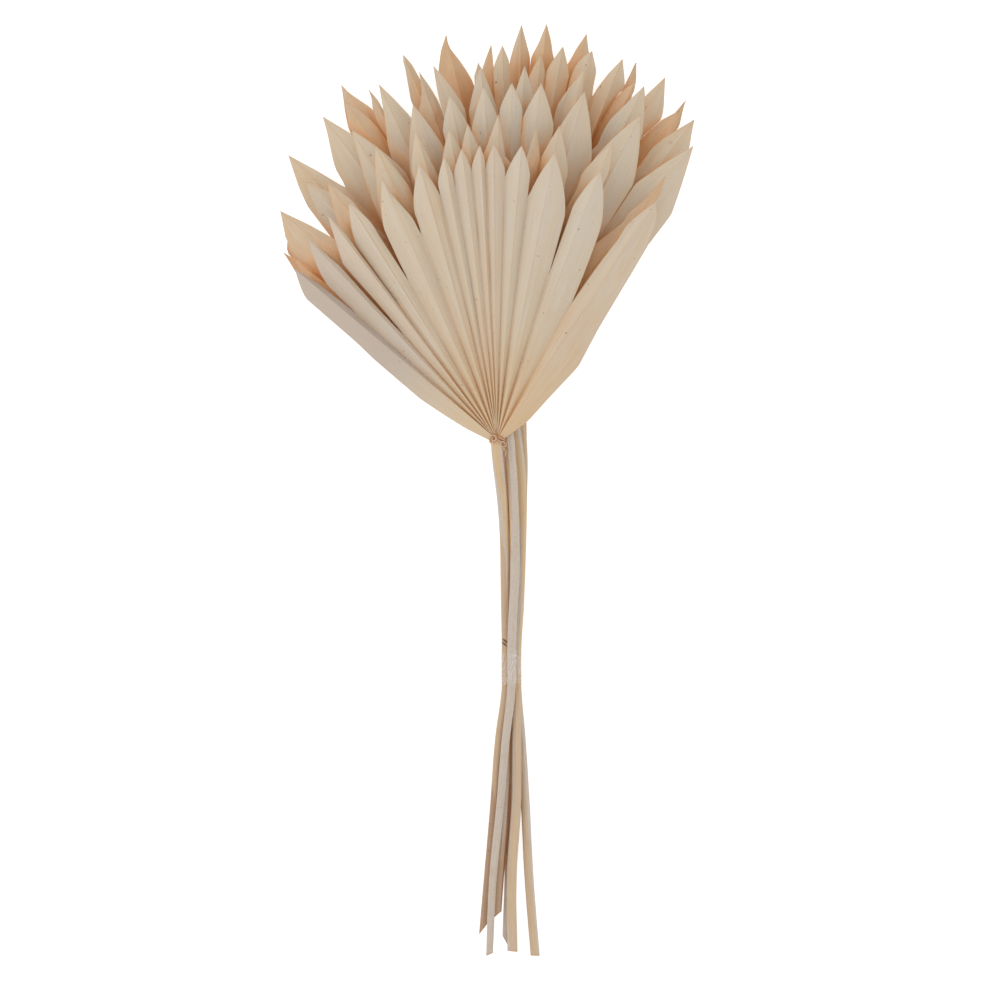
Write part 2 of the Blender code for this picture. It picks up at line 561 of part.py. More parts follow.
def make_leaf(name, place_in_stack, collection, guides, section):
    leaf = LEAVES[name]
    fan = Fan(leaf, place_in_stack)
    body = make_fan(name, fan)
    collection.objects.link(body)
    x, y = leaf["hub"]
    hub = Vector((x, y, mid_surface(x, y, place_in_stack) - 0.4)) * MM
    knob = make_hub(name + "_hub", hub)
    petiole = make_petiole(name + "_petiole", leaf, stem_route(leaf, hub), section, guides)
    join_solids(body, [knob, petiole], name)
    level_underside(body)
    body.data.materials.clear()
    body.data.materials.append(plain_material(name, leaf["colour"], LEAF_ROUGHNESS))
    return body


def make_tie(collection):
    # A waisted tube of film round the stems, open at both ends
    bm = bmesh.new()
    rings = 6
    around = 28
    bmesh.ops.create_grid(bm, x_segments=around, y_segments=rings, size=0.5)
    for vert in bm.verts:
        angle = 2 * math.pi * (vert.co.x + 0.5)
        along = 2 * vert.co.y
        swell = 1 + TIE_FLARE * along ** 2
        vert.co = Vector((
            TIE_CENTRE[0] + TIE_INNER_SEMI_AXES[0] * swell * math.cos(angle),
            TIE_CENTRE[1] + TIE_LENGTH / 2 * along,
            TIE_CENTRE[2] + TIE_INNER_SEMI_AXES[1] * swell * math.sin(angle),
        )) * MM
    bmesh.ops.remove_doubles(bm, verts=bm.verts[:], dist=0.00001)
    bmesh.ops.recalc_face_normals(bm, faces=bm.faces[:])
    mesh = bpy.data.meshes.new("stem_tie")
    bm.to_mesh(mesh)
    bm.free()
    tie = bpy.data.objects.new("stem_tie", mesh)
    wall = tie.modifiers.new("wall", "SOLIDIFY")
    wall.thickness = TIE_WALL * MM
    wall.offset = 1.0
    tie.data.materials.append(plain_material("stem_tie", FILM_COLOUR, 0.2, 0.5))
    collection.objects.link(tie)
    return tie


def main():
    clear_scene()
    bunch = new_collection("sun_palm_bunch")
    guides = new_collection("guides")
    section = petiole_section(guides)
    for order, name in enumerate(LEAVES):
        make_leaf(name, len(LEAVES) - 1 - order, bunch, guides, section)
    make_tie(bunch)


main()
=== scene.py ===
import math
import random

import bmesh
import bpy
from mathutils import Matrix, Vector, noise
from mathutils.bvhtree import BVHTree


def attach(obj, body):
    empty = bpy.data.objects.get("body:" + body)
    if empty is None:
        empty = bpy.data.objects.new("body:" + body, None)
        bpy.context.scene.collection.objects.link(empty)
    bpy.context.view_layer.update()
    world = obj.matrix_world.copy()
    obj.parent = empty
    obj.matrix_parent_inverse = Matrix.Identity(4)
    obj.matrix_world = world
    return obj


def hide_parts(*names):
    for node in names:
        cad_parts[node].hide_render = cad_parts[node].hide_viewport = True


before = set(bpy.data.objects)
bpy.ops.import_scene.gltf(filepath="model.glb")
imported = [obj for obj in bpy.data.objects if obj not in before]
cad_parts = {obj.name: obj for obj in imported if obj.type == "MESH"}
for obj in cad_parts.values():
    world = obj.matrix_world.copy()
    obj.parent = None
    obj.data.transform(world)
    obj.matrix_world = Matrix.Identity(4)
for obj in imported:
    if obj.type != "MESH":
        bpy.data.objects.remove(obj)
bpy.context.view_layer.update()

mm = 0.001


# The stack the six leaves share: same driving sizes as the solids
stackSettings = {
    "tieY": -99.1,
    "gapAtTie": 2.0,
    "gapSlope": 0.036,
    "lowestAtHub": 8.0,
    "lowestRise": 0.062,
    "lowestHubDistance": 197.0,
    "droop": 15.8,
    "droopHalfWidth": 100.0,
    "droopCentreX": 15.0,
}

bladeSettings = {
    "thickness": 0.42,           # mm, real dried leaf
    "uprightThickness": 0.64,    # mm, room that the solids' blades take
    "mostUpright": 1.9,
    "halfAngle": 6.4,            # degrees of half a blade, laid flat
    "halfWidth": 11.2,
    "leastFold": 0.30,
    "mostSlope": 0.62,           # of half a blade, out along the fan
    "slopeAtHub": 1.1,           # added at the hub
    "slopeUntil": 62.0,
    "seamClearance": 0.05,
    "layerClearance": 1.0,
    "innerRadius": 2.7,
    "edgeReadAt": 130.0,         # radius at which the edge bearings hold
    "tipLength": 2.7,            # times the half width
    "strips": 8,                 # columns across half a blade
    "rows": 46,
    "belly": 0.35,               # mm that half a blade bulges
    "ribHeight": 0.22,
    "flute": 0.20,               # mm, long shallow furrows
    "waviness": 0.45,
}

# Segments, left to right: midrib bearing, reach, left and right edge bearing, radius where the slit to the next
# starts. Outer edges and "edges" are (radius, distance from the midrib). Halves listed by (segment, side) are
# browner (dimmer below 0): partly their own tone, partly painted shade on halves that lie in shade.
# "bands" of colour along the stems: (y, from, to), across the stem from -1 at its left to 1 at its right;
# the "deep" bands are painted shade in the cracks between stems and where a stem lies under others.
leafSettings = {
    "palm_leaf_1": {
        "hub": (5.3, 28.0), "roundness": 1.3, "slot": "leaf_cream", "seed": 11,
        "segments": ((139.8, 147.5, 143.6, 138.8, 106), (133.2, 154, 137.6, 132.1, 78),
                     (127.0, 157, 131.3, 126.3, 92), (122.0, 156, 126.0, 120.0, 101),
                     (113.7, 159, 118.3, 110.4, 121), (105.8, 159.5, 110.0, 103.0, 139),
                     (100.6, 160, 103.1, 99.4, 141), (96.9, 163, 99.4, 95.4, 148), (93.3, 164, 95.3, 92.5, 150),
                     (90.6, 164, 92.4, 88.2, 146), (85.2, 164, 88.2, 82.8, 136), (78.6, 162.5, 82.8, 73.1, 96),
                     (68.9, 160.5, 72.0, 63.8, 86), (56.2, 159, 58.9, 52.0, 0)),
        "leftEdge": ((0, 2.0), (5, 3.4), (17, 6.3), (29, 8.1), (47, 10.2), (80, 10.0), (95, 9.1), (132, 8.6)),
        "rightEdge": ((0, 2.0), (17, 8.4), (35, 11.0), (59, 15.0), (83, 12.5), (119, 10.7), (145, 9.0)),
        "tips": {(0, -1): 16.0, (0, 1): 18.0},
        "edges": {(1, 1): ((85, 1.8), (103, 1.8), (130, 2.45)), (2, -1): ((85, 6.6), (103, 7.6), (118, 8.9), (130, 9.75)),
                  (4, 1): ((132, 6.6), (143.7, 2.9), (150, 0.8)),
                  (13, 1): ((137.8, 9.6), (149.3, 6.6), (154.2, 3.9))},
        "warmAndShadedHalves": {(0, -1): -0.7, (0, 1): -0.95, (1, -1): -0.35, (1, 1): -0.4, (3, 1): 0.15, (4, 1): 0.4, (5, 1): 0.45,
                       (6, 1): 0.5, (7, 1): 0.5, (8, 1): 0.5, (12, 1): 0.25, (13, -1): 0.2, (13, 1): 0.35},
        "marks": ((50.7, 145.0, 1.5, 1.5, 0, 0.5), (9.9, -84.3, 5.4, 1.6, -38, 1.0), (9.5, -86.1, 5.0, 1.5, -42, 1.0),
                  (1.1, -186.5, 0.9, 0.9, 0, 0.8), (0.6, -201.6, 1.0, 1.0, 0, 0.7), (-91.4, 92.4, 0.8, 0.8, 0, 0.5),
                  (-45.4, 137.8, 0.9, 0.7, 0, 0.5), (-38.4, 141.1, 0.8, 0.8, 0, 0.4)),
        "stem": ((-2.4, -245.5, 2.2), (0.0, -218, 2.6), (3.9, -174, 6.2), (6.5, -140, 10.9), (10.5, -109, 13.55),
                 (10.5, -90, 13.55), (10.2, -70, 15.2)),
        "rise": ((9.9, -52), (9.7, -34), (8.4, -6), (6.4, 14)),
        "end": (0.8, 150.0), "neck": (1.45, 55.0), "slant": 8.2, "bladeHue": 0.0,
        "bands": (("pale", 1.0, ((-250, 1.1, 1.3), (-228, 0.8, 1.2), (-207, 0.35, 0.8), (-190, 0.35, 0.85),
                            (-157, 0.3, 0.5), (-112, 0.6, 0.75), (-62, 0.5, 0.85), (-39, 0.15, 0.65),
                            (-28, -0.4, 0.2), (-17, -1.1, -0.1), (-6, -1.2, -0.1), (8, -1.2, -0.6), (24, -1.2, -0.8))),
                  ("pale", 1.0, ((-39, 1.2, 1.2), (-17, 0.75, 1.2), (-6, 0.8, 1.2), (8, 0.35, 1.2), (24, 0.3, 1.2))),
                  ("yellow", 1.0, ((-62, 1.1, 1.2), (-39, 0.67, 1.2), (-28, 0.2, 0.95), (-17, -0.1, 0.7), (-6, -0.1, 0.8),
                              (8, -0.6, 0.35), (24, -0.8, 0.3))),
                  ("deep", 0.8, ((-225, 0.7, 1.0), (-200, 0.42, 0.64), (-178, 0.3, 0.52), (-155, 0.22, 0.44),
                            (-140, 0.5, 0.75), (-123, 0.45, 0.75), (-112, 0.8, 0.8))),
                  ("deep", 0.9, ((-40, 1.0, 1.0), (-34, 0.9, 1.2), (-17, 0.82, 1.2), (10, 0.82, 1.2), (24, 0.8, 1.2))),
                  ("brown", 0.85, ((-250, -1.2, 1.2), (-185, -1.2, 1.2), (-160, -1.2, -1.2))),
                  ("brown", 0.3, ((-185, -1.2, 1.2), (-112, -1.2, 0.6), (-99, -1.2, 0.5), (-61, -1.2, 0.45),
                                   (-33, -1.2, 0.1), (-16, -1.2, -1.2)))),
    },
    "palm_leaf_2": {
        "hub": (7.0, 43.7), "roundness": 1.1, "slot": "leaf_amber", "seed": 12,
        "segments": ((143.7, 150, 147.0, 143.1, 128), (137.6, 166, 143.0, 133.6, 120),
                     (127.0, 160, 131.0, 124.8, 96), (115.1, 164, 121.5, 112.0, 110),
                     (106.7, 163.5, 110.3, 104.5, 124), (100.2, 160, 103.0, 98.4, 138),
                     (96.4, 161, 98.3, 94.5, 142), (90.3, 165, 93.3, 88.9, 136), (82.7, 159, 84.5, 80.9, 130),
                     (78.2, 162.5, 81.0, 74.0, 112), (67.2, 163, 71.0, 65.5, 104), (54.8, 160, 56.6, 53.8, 0)),
        "leftEdge": ((0, 2.0), (20, 5.0), (60, 8.0), (131, 8.4)),
        "rightEdge": ((0, 1.5), (20, 3.6), (60, 4.4), (131, 3.2)),
        "tips": {},
        "edges": {(0, -1): ((137.4, 5.0), (143.4, 2.5)), (1, -1): ((145.3, 12.2), (154.2, 8.9), (159.5, 4.7)),
                  (1, 1): ((132, 9.1), (148.8, 5.2)), (4, 1): ((137.8, 4.5), (146.4, 3.0), (155.6, 1.7)),
                  (11, -1): ((125.4, 4.8), (131.9, 5.3), (138, 3.5), (144.1, 1.6), (149.7, 1.4))},
        "warmAndShadedHalves": {(0, -1): 1.2, (0, 1): 1.1, (1, -1): 0.6, (1, 1): 0.6, (2, -1): 0.7, (2, 1): 0.5, (3, -1): 0.3,
                       (8, 1): 0.6, (11, -1): 0.7, (11, 1): 0.9},
        "marks": ((67.5, 144.5, 0.9, 0.9, 0, 0.8), (48.6, 178.6, 1.2, 1.2, 0, 0.6)),
        "stem": ((1.1, -259.6, 6.8), (3.0, -218, 8.6), (7.3, -174, 11.4), (10.1, -140, 14.6), (13.4, -109, 17.1),
                 (13.4, -90, 17.1), (14.2, -70, 19.8)),
        "rise": ((15.1, -52), (15.2, -34), (14.1, -6), (12.5, 18), (10.6, 34)),
        "end": (0.74, 215.0), "neck": (1.36, 100.0), "slant": 2.4, "bladeHue": 0.25,
        "bands": (("pale", 1.0, ((-260, -1.2, 1.2), (-40, -0.95, 1.2), (-22, -0.5, 1.2), (0, -0.4, 1.2), (30, -0.1, 1.2))),
                  ("yellow", 1.0, ((-60, -1.2, -1.2), (-40, -1.2, -0.95), (-22, -1.2, -0.5), (0, -1.2, -0.4),
                              (30, -1.2, -0.1))),
                  ("deep", 0.8, ((-40, -1.2, -1.0), (-34, -1.2, -0.85), (-17, -1.2, -0.78), (10, -1.2, -0.72),
                            (24, -1.2, -0.72)))),
    },
    "palm_leaf_3": {
        "hub": (9.8, 58.8), "roundness": 1.1, "slot": "leaf_cream", "seed": 13,
        "segments": ((146.7, 145.5, 149.6, 144.9, 100), (134.5, 159, 138.3, 131.5, 104),
                     (121.1, 166, 125.6, 115.0, 104), (108.2, 164, 115.0, 103.8, 118),
                     (100.8, 164, 103.8, 98.1, 132), (94.1, 166, 97.4, 91.3, 138), (88.7, 168, 91.2, 86.0, 138),
                     (83.1, 169, 86.6, 78.9, 128), (74.8, 169, 79.5, 68.6, 112), (63.3, 168, 68.6, 57.3, 104),
                     (51.7, 169.5, 57.0, 47.0, 0)),
        "leftEdge": ((0, 1.5), (20, 3.6), (60, 5.6), (132, 7.4)),
        "rightEdge": ((0, 2.0), (20, 7.0), (60, 12.6), (110, 14.4), (136, 14.0)),
        "tips": {},
        "edges": {(0, -1): ((133, 7.4), (142.6, 5.0)), (2, -1): ((136.1, 8.8), (147.1, 5.4), (158.5, 2.5)),
                  (10, -1): ((133.1, 12.4), (151.5, 6.9))},
        "warmAndShadedHalves": {(0, -1): 1.2, (0, 1): 1.0, (1, -1): -0.15, (1, 1): 0.5, (2, -1): 0.4, (2, 1): 0.2},
        "marks": ((-52.6, 165.8, 1.3, 0.8, 60, 0.6), (-61.6, 173.6, 0.8, 0.8, 0, 0.6), (-65.2, 186.5, 3.0, 0.8, 40, 0.5),
                  (-65.2, 186.5, 2.6, 0.7, 110, 0.4)),
        "stem": ((13.9, -257.9, 5.9), (13.4, -218, 6.0), (16.0, -174, 8.2), (16.3, -140, 11.6),
                 (16.3, -109, 13.55), (16.3, -90, 13.55)),
        "rise": ((17.9, -62), (18.8, -34), (19.2, -6), (17.5, 22), (13.2, 46)),
        "end": (1.1, 150.0), "neck": (1.1, 36.0), "slant": -0.6, "bladeHue": 0.1,
        "bands": (("pale", 1.0, ((-260, -1.2, -0.3), (-240, -1.2, -0.85), (-207, -1.2, -0.7), (-157, -1.2, -0.6),
                            (-112, -1.2, -0.4), (-99, -0.5, 0.35), (-62, -0.5, 0.55), (-39, -0.5, 0.2),
                            (-22, -0.7, 0.0), (-12, -1.2, -0.9))),
                  ("pale", 1.0, ((-12, 1.1, 1.2), (8, 0.7, 1.2), (30, 0.3, 1.2))),
                  ("yellow", 1.0, ((-99, 1.1, 1.2), (-84, 0.4, 1.2), (-62, 0.55, 1.2), (-39, 0.2, 1.2), (-22, 0.0, 1.2),
                              (-12, -0.9, 1.1), (8, -1.2, 0.7), (30, -1.2, 0.3))),
                  ("brown", 1.0, ((-190, 0.95, 1.2), (-140, 0.9, 1.2), (-112, 1.2, 1.2)))),
    },
    "palm_leaf_4": {
        "hub": (11.5, 71.7), "roundness": 1.1, "slot": "leaf_straw", "seed": 14,
        "segments": ((136.8, 168.5, 142.8, 133.2, 133), (127.1, 171.5, 132.8, 121.5, 104),
                     (115.0, 170.5, 120.1, 111.0, 112), (104.2, 170, 105.6, 99.7, 124),
                     (95.3, 165, 99.0, 92.2, 132), (86.8, 165, 89.3, 83.9, 130), (81.5, 140, 83.9, 79.3, 122),
                     (75.3, 168, 79.3, 74.5, 116), (63.7, 171, 67.6, 59.0, 108), (52.4, 170.5, 55.8, 49.0, 0)),
        "leftEdge": ((0, 2.0), (20, 8.0), (60, 14.0), (110, 16.6)),
        "rightEdge": ((0, 2.0), (20, 5.4), (60, 8.6), (140, 9.2)),
        "tips": {},
        "edges": {(0, -1): ((118.2, 17.3), (141.1, 13.4), (152.4, 8.7)), (0, 1): ((133.6, 8.3), (150.4, 4.7)),
                  (1, -1): ((133.2, 13.2), (143.4, 12.0), (147.7, 10.5), (162.2, 3.7)),
                  (1, 1): ((139.3, 12.6), (155.2, 6.4)), (2, 1): ((147.5, 8.2), (159.2, 4.4)),
                  (2, -1): ((130, 11.1), (138, 9.8), (146.6, 7.0), (156.2, 3.8)),
                  (3, -1): ((135.4, 1.2), (149.4, 1.5), (157.4, 1.2)),
                  (8, -1): ((130, 8.7), (137.8, 9.4), (145.5, 8.9), (153.8, 6.1), (162.8, 3.0)),
                  (8, 1): ((146.7, 11.2), (155.1, 8.0), (166.4, 3.0)),
                  (9, -1): ((132.4, 8.0), (142.1, 9.1), (151.1, 7.5), (161, 3.8)),
                  (9, 1): ((146.1, 9.0), (156.8, 7.2), (163.2, 3.6))},
        "warmAndShadedHalves": {(0, -1): 0.55, (0, 1): 0.35, (9, -1): 0.35, (9, 1): 0.25},
        "marks": ((102.2, 193.8, 3.2, 2.6, 0, 0.2),),
        "stem": ((26.6, -260.4, 1.7), (23.3, -218, 2.0), (21.0, -174, 4.2), (18.8, -140, 7.2),
                 (16.3, -109, 9.45), (16.3, -90, 9.45)),
        "rise": ((17.9, -62), (18.9, -34), (19.5, -6), (19.6, 24), (16.2, 52)),
        "end": (1.0, 150.0), "neck": (1.1, 36.0), "slant": -0.6, "bladeHue": 0.2,
        "bands": (("pale", 1.0, ((-260, 0.65, 1.2), (-207, 0.6, 1.2), (-190, 0.3, 1.2), (-120, 0.3, 1.2), (-100, 0.9, 1.2))),
                  ("brown", 1.0, ((-250, -1.2, -1.1), (-224, -1.2, -0.88), (-180, -1.2, -0.85), (-150, -1.2, -1.0)))),
    },
    "palm_leaf_5": {
        "hub": (13.2, 85.1), "roundness": 1.1, "slot": "leaf_tan", "seed": 15,
        "segments": ((125.1, 161.5, 127.5, 122.6, 118), (119.9, 160, 121.2, 119.3, 118),
                     (109.1, 157, 112.3, 106.8, 122), (102.8, 128, 106.6, 98.4, 118),
                     (96.8, 154.5, 98.3, 96.0, 124), (91.7, 163, 93.8, 90.2, 126), (87.6, 140, 90.0, 86.1, 118),
                     (83.9, 159, 86.0, 82.3, 122), (79.9, 165, 83.0, 77.5, 126), (74.2, 166, 77.5, 71.5, 142),
                     (68.2, 167.5, 71.3, 67.5, 126), (64.1, 159, 67.1, 63.1, 122), (59.4, 169, 60.9, 56.9, 118),
                     (53.4, 158, 56.7, 52.5, 0)),
        "leftEdge": ((0, 1.5), (20, 4.4), (60, 7.0), (138, 8.4)),
        "rightEdge": ((0, 1.5), (20, 2.8), (60, 3.4), (148, 2.4)),
        "tips": {},
        "edges": {(0, -1): ((146.3, 7.5), (155, 3.4)), (0, 1): ((139.9, 6.5), (152.7, 3.9)),
                  (1, -1): ((142.3, 4.8), (149.2, 3.4), (155.4, 0.6)),
                  (2, -1): ((135.6, 8.2), (139.8, 5.0), (147.6, 1.7)), (2, 1): ((137.6, 4.9), (147.2, 2.9)),
                  (5, 1): ((147.3, 3.8), (154.5, 3.4)),
                  (9, -1): ((141.9, 7.4), (148.3, 7.6), (156.3, 6.6), (162.6, 3.4)),
                  (9, 1): ((147.2, 6.0), (155.8, 5.4), (158.8, 3.9)),
                  (10, -1): ((148.1, 6.8), (156.9, 4.3)),
                  (10, 1): ((130, 1.7), (143.3, 3.4), (151.9, 6.6), (154.2, 6.8), (157.7, 5.1)),
                  (11, -1): ((129.8, 7.6), (136.5, 7.4), (143.3, 6.95), (151.8, 3.9)),
                  (12, -1): ((147.1, 4.4), (154.4, 4.2), (161, 2.2)),
                  (12, 1): ((133.2, 6.0), (140, 8.0), (147.6, 10.3), (153.4, 8.2), (160.7, 4.4)),
                  (13, -1): ((133.2, 7.8), (139.6, 6.65), (147.6, 5.05))},
        "warmAndShadedHalves": {(0, -1): 0.5, (0, 1): 0.4, (5, 1): 0.2, (7, -1): 0.4, (7, 1): 0.6, (11, -1): 0.6, (11, 1): 0.7, (13, -1): 0.7,
                       (13, 1): 0.8},
        "marks": ((63.0, 225.1, 1.0, 1.0, 0, 0.9), (88.2, 213.4, 0.8, 0.8, 0, 0.6), (4.8, 227.4, 2.0, 1.2, 60, 0.7),
                  (-2.5, 227.4, 0.9, 0.9, 0, 0.7)),
        "stem": ((5.4, -237.5, 4.0), (6.8, -218, 4.4), (10.6, -174, 6.2), (11.5, -140, 7.0), (10.5, -109, 9.45),
                 (10.5, -90, 9.45)),
        "rise": ((10.7, -62), (11.4, -34), (16.5, -6), (19.2, 22), (18.2, 50), (14.9, 72)),
        "end": (0.85, 150.0), "neck": (1.1, 36.0), "slant": 5.0, "bladeHue": 0.35,
        "bands": (("brown", 0.5, ((-240, -1.2, 1.2), (-170, -1.2, 1.2), (-140, -1.2, 1.2))),
                  ("pale", 1.0, ((-200, -0.2, 0.0), (-190, -0.5, 0.2), (-174, -0.7, 0.3), (-157, -0.6, 0.4),
                            (-140, -0.3, 0.3))),
                  ("deep", 1.0, ((-240, 0.85, 1.2), (-207, 0.6, 1.2), (-174, 0.3, 1.2), (-157, 0.4, 1.2), (-140, 0.3, 1.2),
                            (-110, -0.2, 1.2)))),
    },
    "palm_leaf_6": {
        "hub": (14.8, 98.0), "roundness": 1.1, "slot": "leaf_brown", "seed": 16,
        "segments": ((126.9, 161, 131.9, 124.4, 112), (120.1, 135, 124.2, 116.1, 110),
                     (113.1, 158, 115.9, 111.5, 112), (103.7, 160.5, 107.0, 100.0, 114),
                     (94.8, 151.5, 97.5, 94.7, 118), (88.5, 162, 91.1, 86.3, 122),
                     (83.6, 163.5, 86.3, 81.1, 138), (75.5, 162, 77.7, 73.9, 118), (68.6, 134, 73.7, 64.3, 114),
                     (64.1, 156.5, 64.9, 62.0, 116), (57.2, 138, 61.3, 52.8, 114), (51.3, 153.5, 51.9, 49.0, 0)),
        "leftEdge": ((0, 2.0), (20, 6.4), (60, 11.2), (130, 12.5)),
        "rightEdge": ((0, 1.5), (20, 3.8), (60, 6.0), (138, 6.4)),
        "tips": {},
        "edges": {(0, -1): ((136, 12.3), (140, 11), (148, 7.1), (156, 2.5)),
                  (0, 1): ((140, 5.7), (149.5, 2.4), (155.4, 0.5)),
                  (2, -1): ((132, 6.2), (141.7, 4.0), (151.2, 1.8), (155.8, 1.4)),
                  (2, 1): ((130.2, 4.4), (142.9, 3.2), (151.2, 2.4)),
                  (3, -1): ((137.9, 10.1), (144.3, 8.0), (152.8, 4.8)),
                  (3, 1): ((131.7, 8.5), (137.2, 7.0), (144.8, 4.2), (153.3, 0.3)),
                  (4, -1): ((137.7, 6.4), (144.7, 3.3)), (5, -1): ((142.1, 5.9), (151.7, 3.4)),
                  (5, 1): ((138, 5.29), (144.1, 5.25), (152.4, 2.8)), (6, -1): ((138, 6.5), (144.1, 6.5), (151.5, 3.4)),
                  (6, 1): ((145.5, 5.7), (154.2, 3.6)), (7, -1): ((143.7, 5.6), (152.4, 3.5)),
                  (7, 1): ((145.4, 5.2), (150.9, 4.4), (155.1, 2.7)), (9, -1): ((142.3, 0.4), (149.3, 0.3)),
                  (9, 1): ((141.7, 5.9), (148.2, 4.0)), (11, -1): ((140, 0.4), (148, 0.2)),
                  (11, 1): ((140.1, 6.3), (147.2, 2.7))},
        "warmAndShadedHalves": {(0, -1): 0.15, (0, 1): 0.2, (3, -1): 0.8, (3, 1): 0.8, (4, -1): 0.7, (4, 1): 0.7, (6, 1): 0.7, (7, -1): 0.7, (7, 1): 0.3, (9, 1): 0.4,
                       (11, -1): 0.5, (11, 1): 0.8},
        "marks": ((-12.9, 236.9, 0.8, 0.8, 0, 0.6),),
        "stem": ((10.8, -253.4, 1.7), (12.0, -218, 1.9), (12.6, -174, 2.2), (13.2, -140, 3.2), (13.4, -109, 5.9),
                 (13.4, -90, 5.9)),
        "rise": ((14.8, -62), (15.4, -34), (16.4, -6), (17.4, 22), (17.0, 60), (15.4, 84)),
        "end": (1.0, 150.0), "neck": (1.1, 36.0), "slant": -8.4, "bladeHue": 0.5,
        "bands": (("pale", 1.0, ((-260, -1.2, 1.2), (-205, -1.2, 1.2), (-180, -1.2, -1.2))),
                  ("deep", 1.0, ((-180, -1.2, -1.2), (-150, -1.2, 1.2), (-110, -1.2, 1.2)))),
    },
}

hubSettings = {"semiAxes": (4.1, 3.4, 2.3), "lowered": 0.4}

# The curled ends of the pleats: points (x, y, lift off the knot) from the knot's middle and a thickness, in mm
curlSettings = {
    "step": 0.16,
    "around": 10,
    "curls": (
        (((-3.7, 0.4, 0.1), (-3.2, 1.9, 0.3), (-1.6, 2.3, 0.4), (-0.5, 1.0, 0.4), (-1.1, -0.4, 0.3), (-2.4, -0.5, 0.3),
          (-2.7, 0.6, 0.4), (-1.9, 1.1, 0.5)), 1.25),
        (((5.2, -1.5, 0.4), (5.0, -3.0, 0.5), (3.6, -3.9, 0.7), (2.1, -3.0, 0.8), (2.3, -1.5, 0.8), (3.5, -1.2, 0.9),
          (4.1, -2.3, 1.0), (3.3, -2.7, 1.0)), 1.15),
        (((-1.4, -0.9, 0.0), (-0.2, -2.0, 0.1), (0.8, -3.4, 0.2), (1.7, -4.6, 0.3)), 0.9),
        (((-2.5, -1.2, 0.0), (-1.2, -2.4, 0.1), (-0.1, -3.8, 0.2), (0.7, -5.2, 0.2)), 0.85),
        (((0.6, -4.0, 0.2), (2.0, -4.5, 0.4), (3.5, -4.4, 0.4), (4.6, -3.6, 0.3)), 0.75),
        (((2.6, -5.3, 0.3), (3.5, -4.9, 0.5), (4.2, -5.3, 0.4), (3.6, -5.8, 0.2), (2.8, -5.6, 0.2)), 0.9),
        (((0.0, 0.6, 0.1), (0.9, -0.5, 0.3), (1.9, -1.2, 0.4), (1.3, -2.2, 0.4)), 0.85),
        (((0.6, 1.8, 0.0), (1.9, 0.8, 0.2), (3.2, 0.2, 0.3), (4.5, -0.4, 0.2)), 0.85),
        (((4.4, -5.6, 0.1), (4.9, -7.0, 0.3), (4.6, -8.4, 0.3), (5.0, -9.6, 0.2)), 0.75),
    ),
}

stemSettings = {
    "profile": ((-1.2, -1.8), (1.2, -1.8), (2.45, -0.8), (2.6, 0.5), (1.3, 1.5), (-0.4, 1.8), (-2.0, 1.2), (-2.6, -0.1)),
    "width": 5.2,
    "slantLength": 16.0,         # over which the slant of the cut fades out
    "stepLength": 2.0,
    "around": 40,
    "groove": 0.045,
}

tieSettings = {
    "centre": (13.4, -99.1, 11.5),
    "semiAxes": (6.1, 7.8),
    "length": 18.0,
    "flare": 0.05,
    "wall": 0.4,
}

# Rays look this far for other palm over a point, from 0.3 mm above it
shelterSettings = {"rays": 26, "reach": 34.0, "start": 0.3}

cameraSettings = {"aim": (7.0, -5.6, 40.0), "distance": 12000.0, "view": 557.3}

lightSettings = {
    "world": 0.98,
    "lamps": (("keyLight", (-1.3, 0.9, 1.3), 1.2, 7.5), ("fillLight", (1.3, -0.6, 1.7), 1.4, 2.0)),
}


class Sock:
    # a socket that can be used in sums: Sock + 0.2, 1 - Sock, Sock * Sock

    def __init__(self, tree, socket):
        self.tree = tree
        self.socket = socket

    def math(self, operation, a, b=None):
        inputs = [a] if b is None else [a, b]
        return self.tree.add("ShaderNodeMath", {"operation": operation}, dict(enumerate(inputs)))

    def __add__(self, other):
        return self.math("ADD", self, other)

    def __radd__(self, other):
        return self.math("ADD", other, self)

    def __sub__(self, other):
        return self.math("SUBTRACT", self, other)

    def __rsub__(self, other):
        return self.math("SUBTRACT", other, self)

    def __mul__(self, other):
        return self.math("MULTIPLY", self, other)

    def __rmul__(self, other):
        return self.math("MULTIPLY", other, self)

    def __truediv__(self, other):
        return self.math("DIVIDE", self, other)

    def __abs__(self):
        return self.math("ABSOLUTE", self)

    def clamp(self):
        return self.math("MINIMUM", self.math("MAXIMUM", self, 0.0), 1.0)

    def between(self, low, high):
        # 0 below low, 1 above high
        return ((self - low) / (high - low)).clamp()


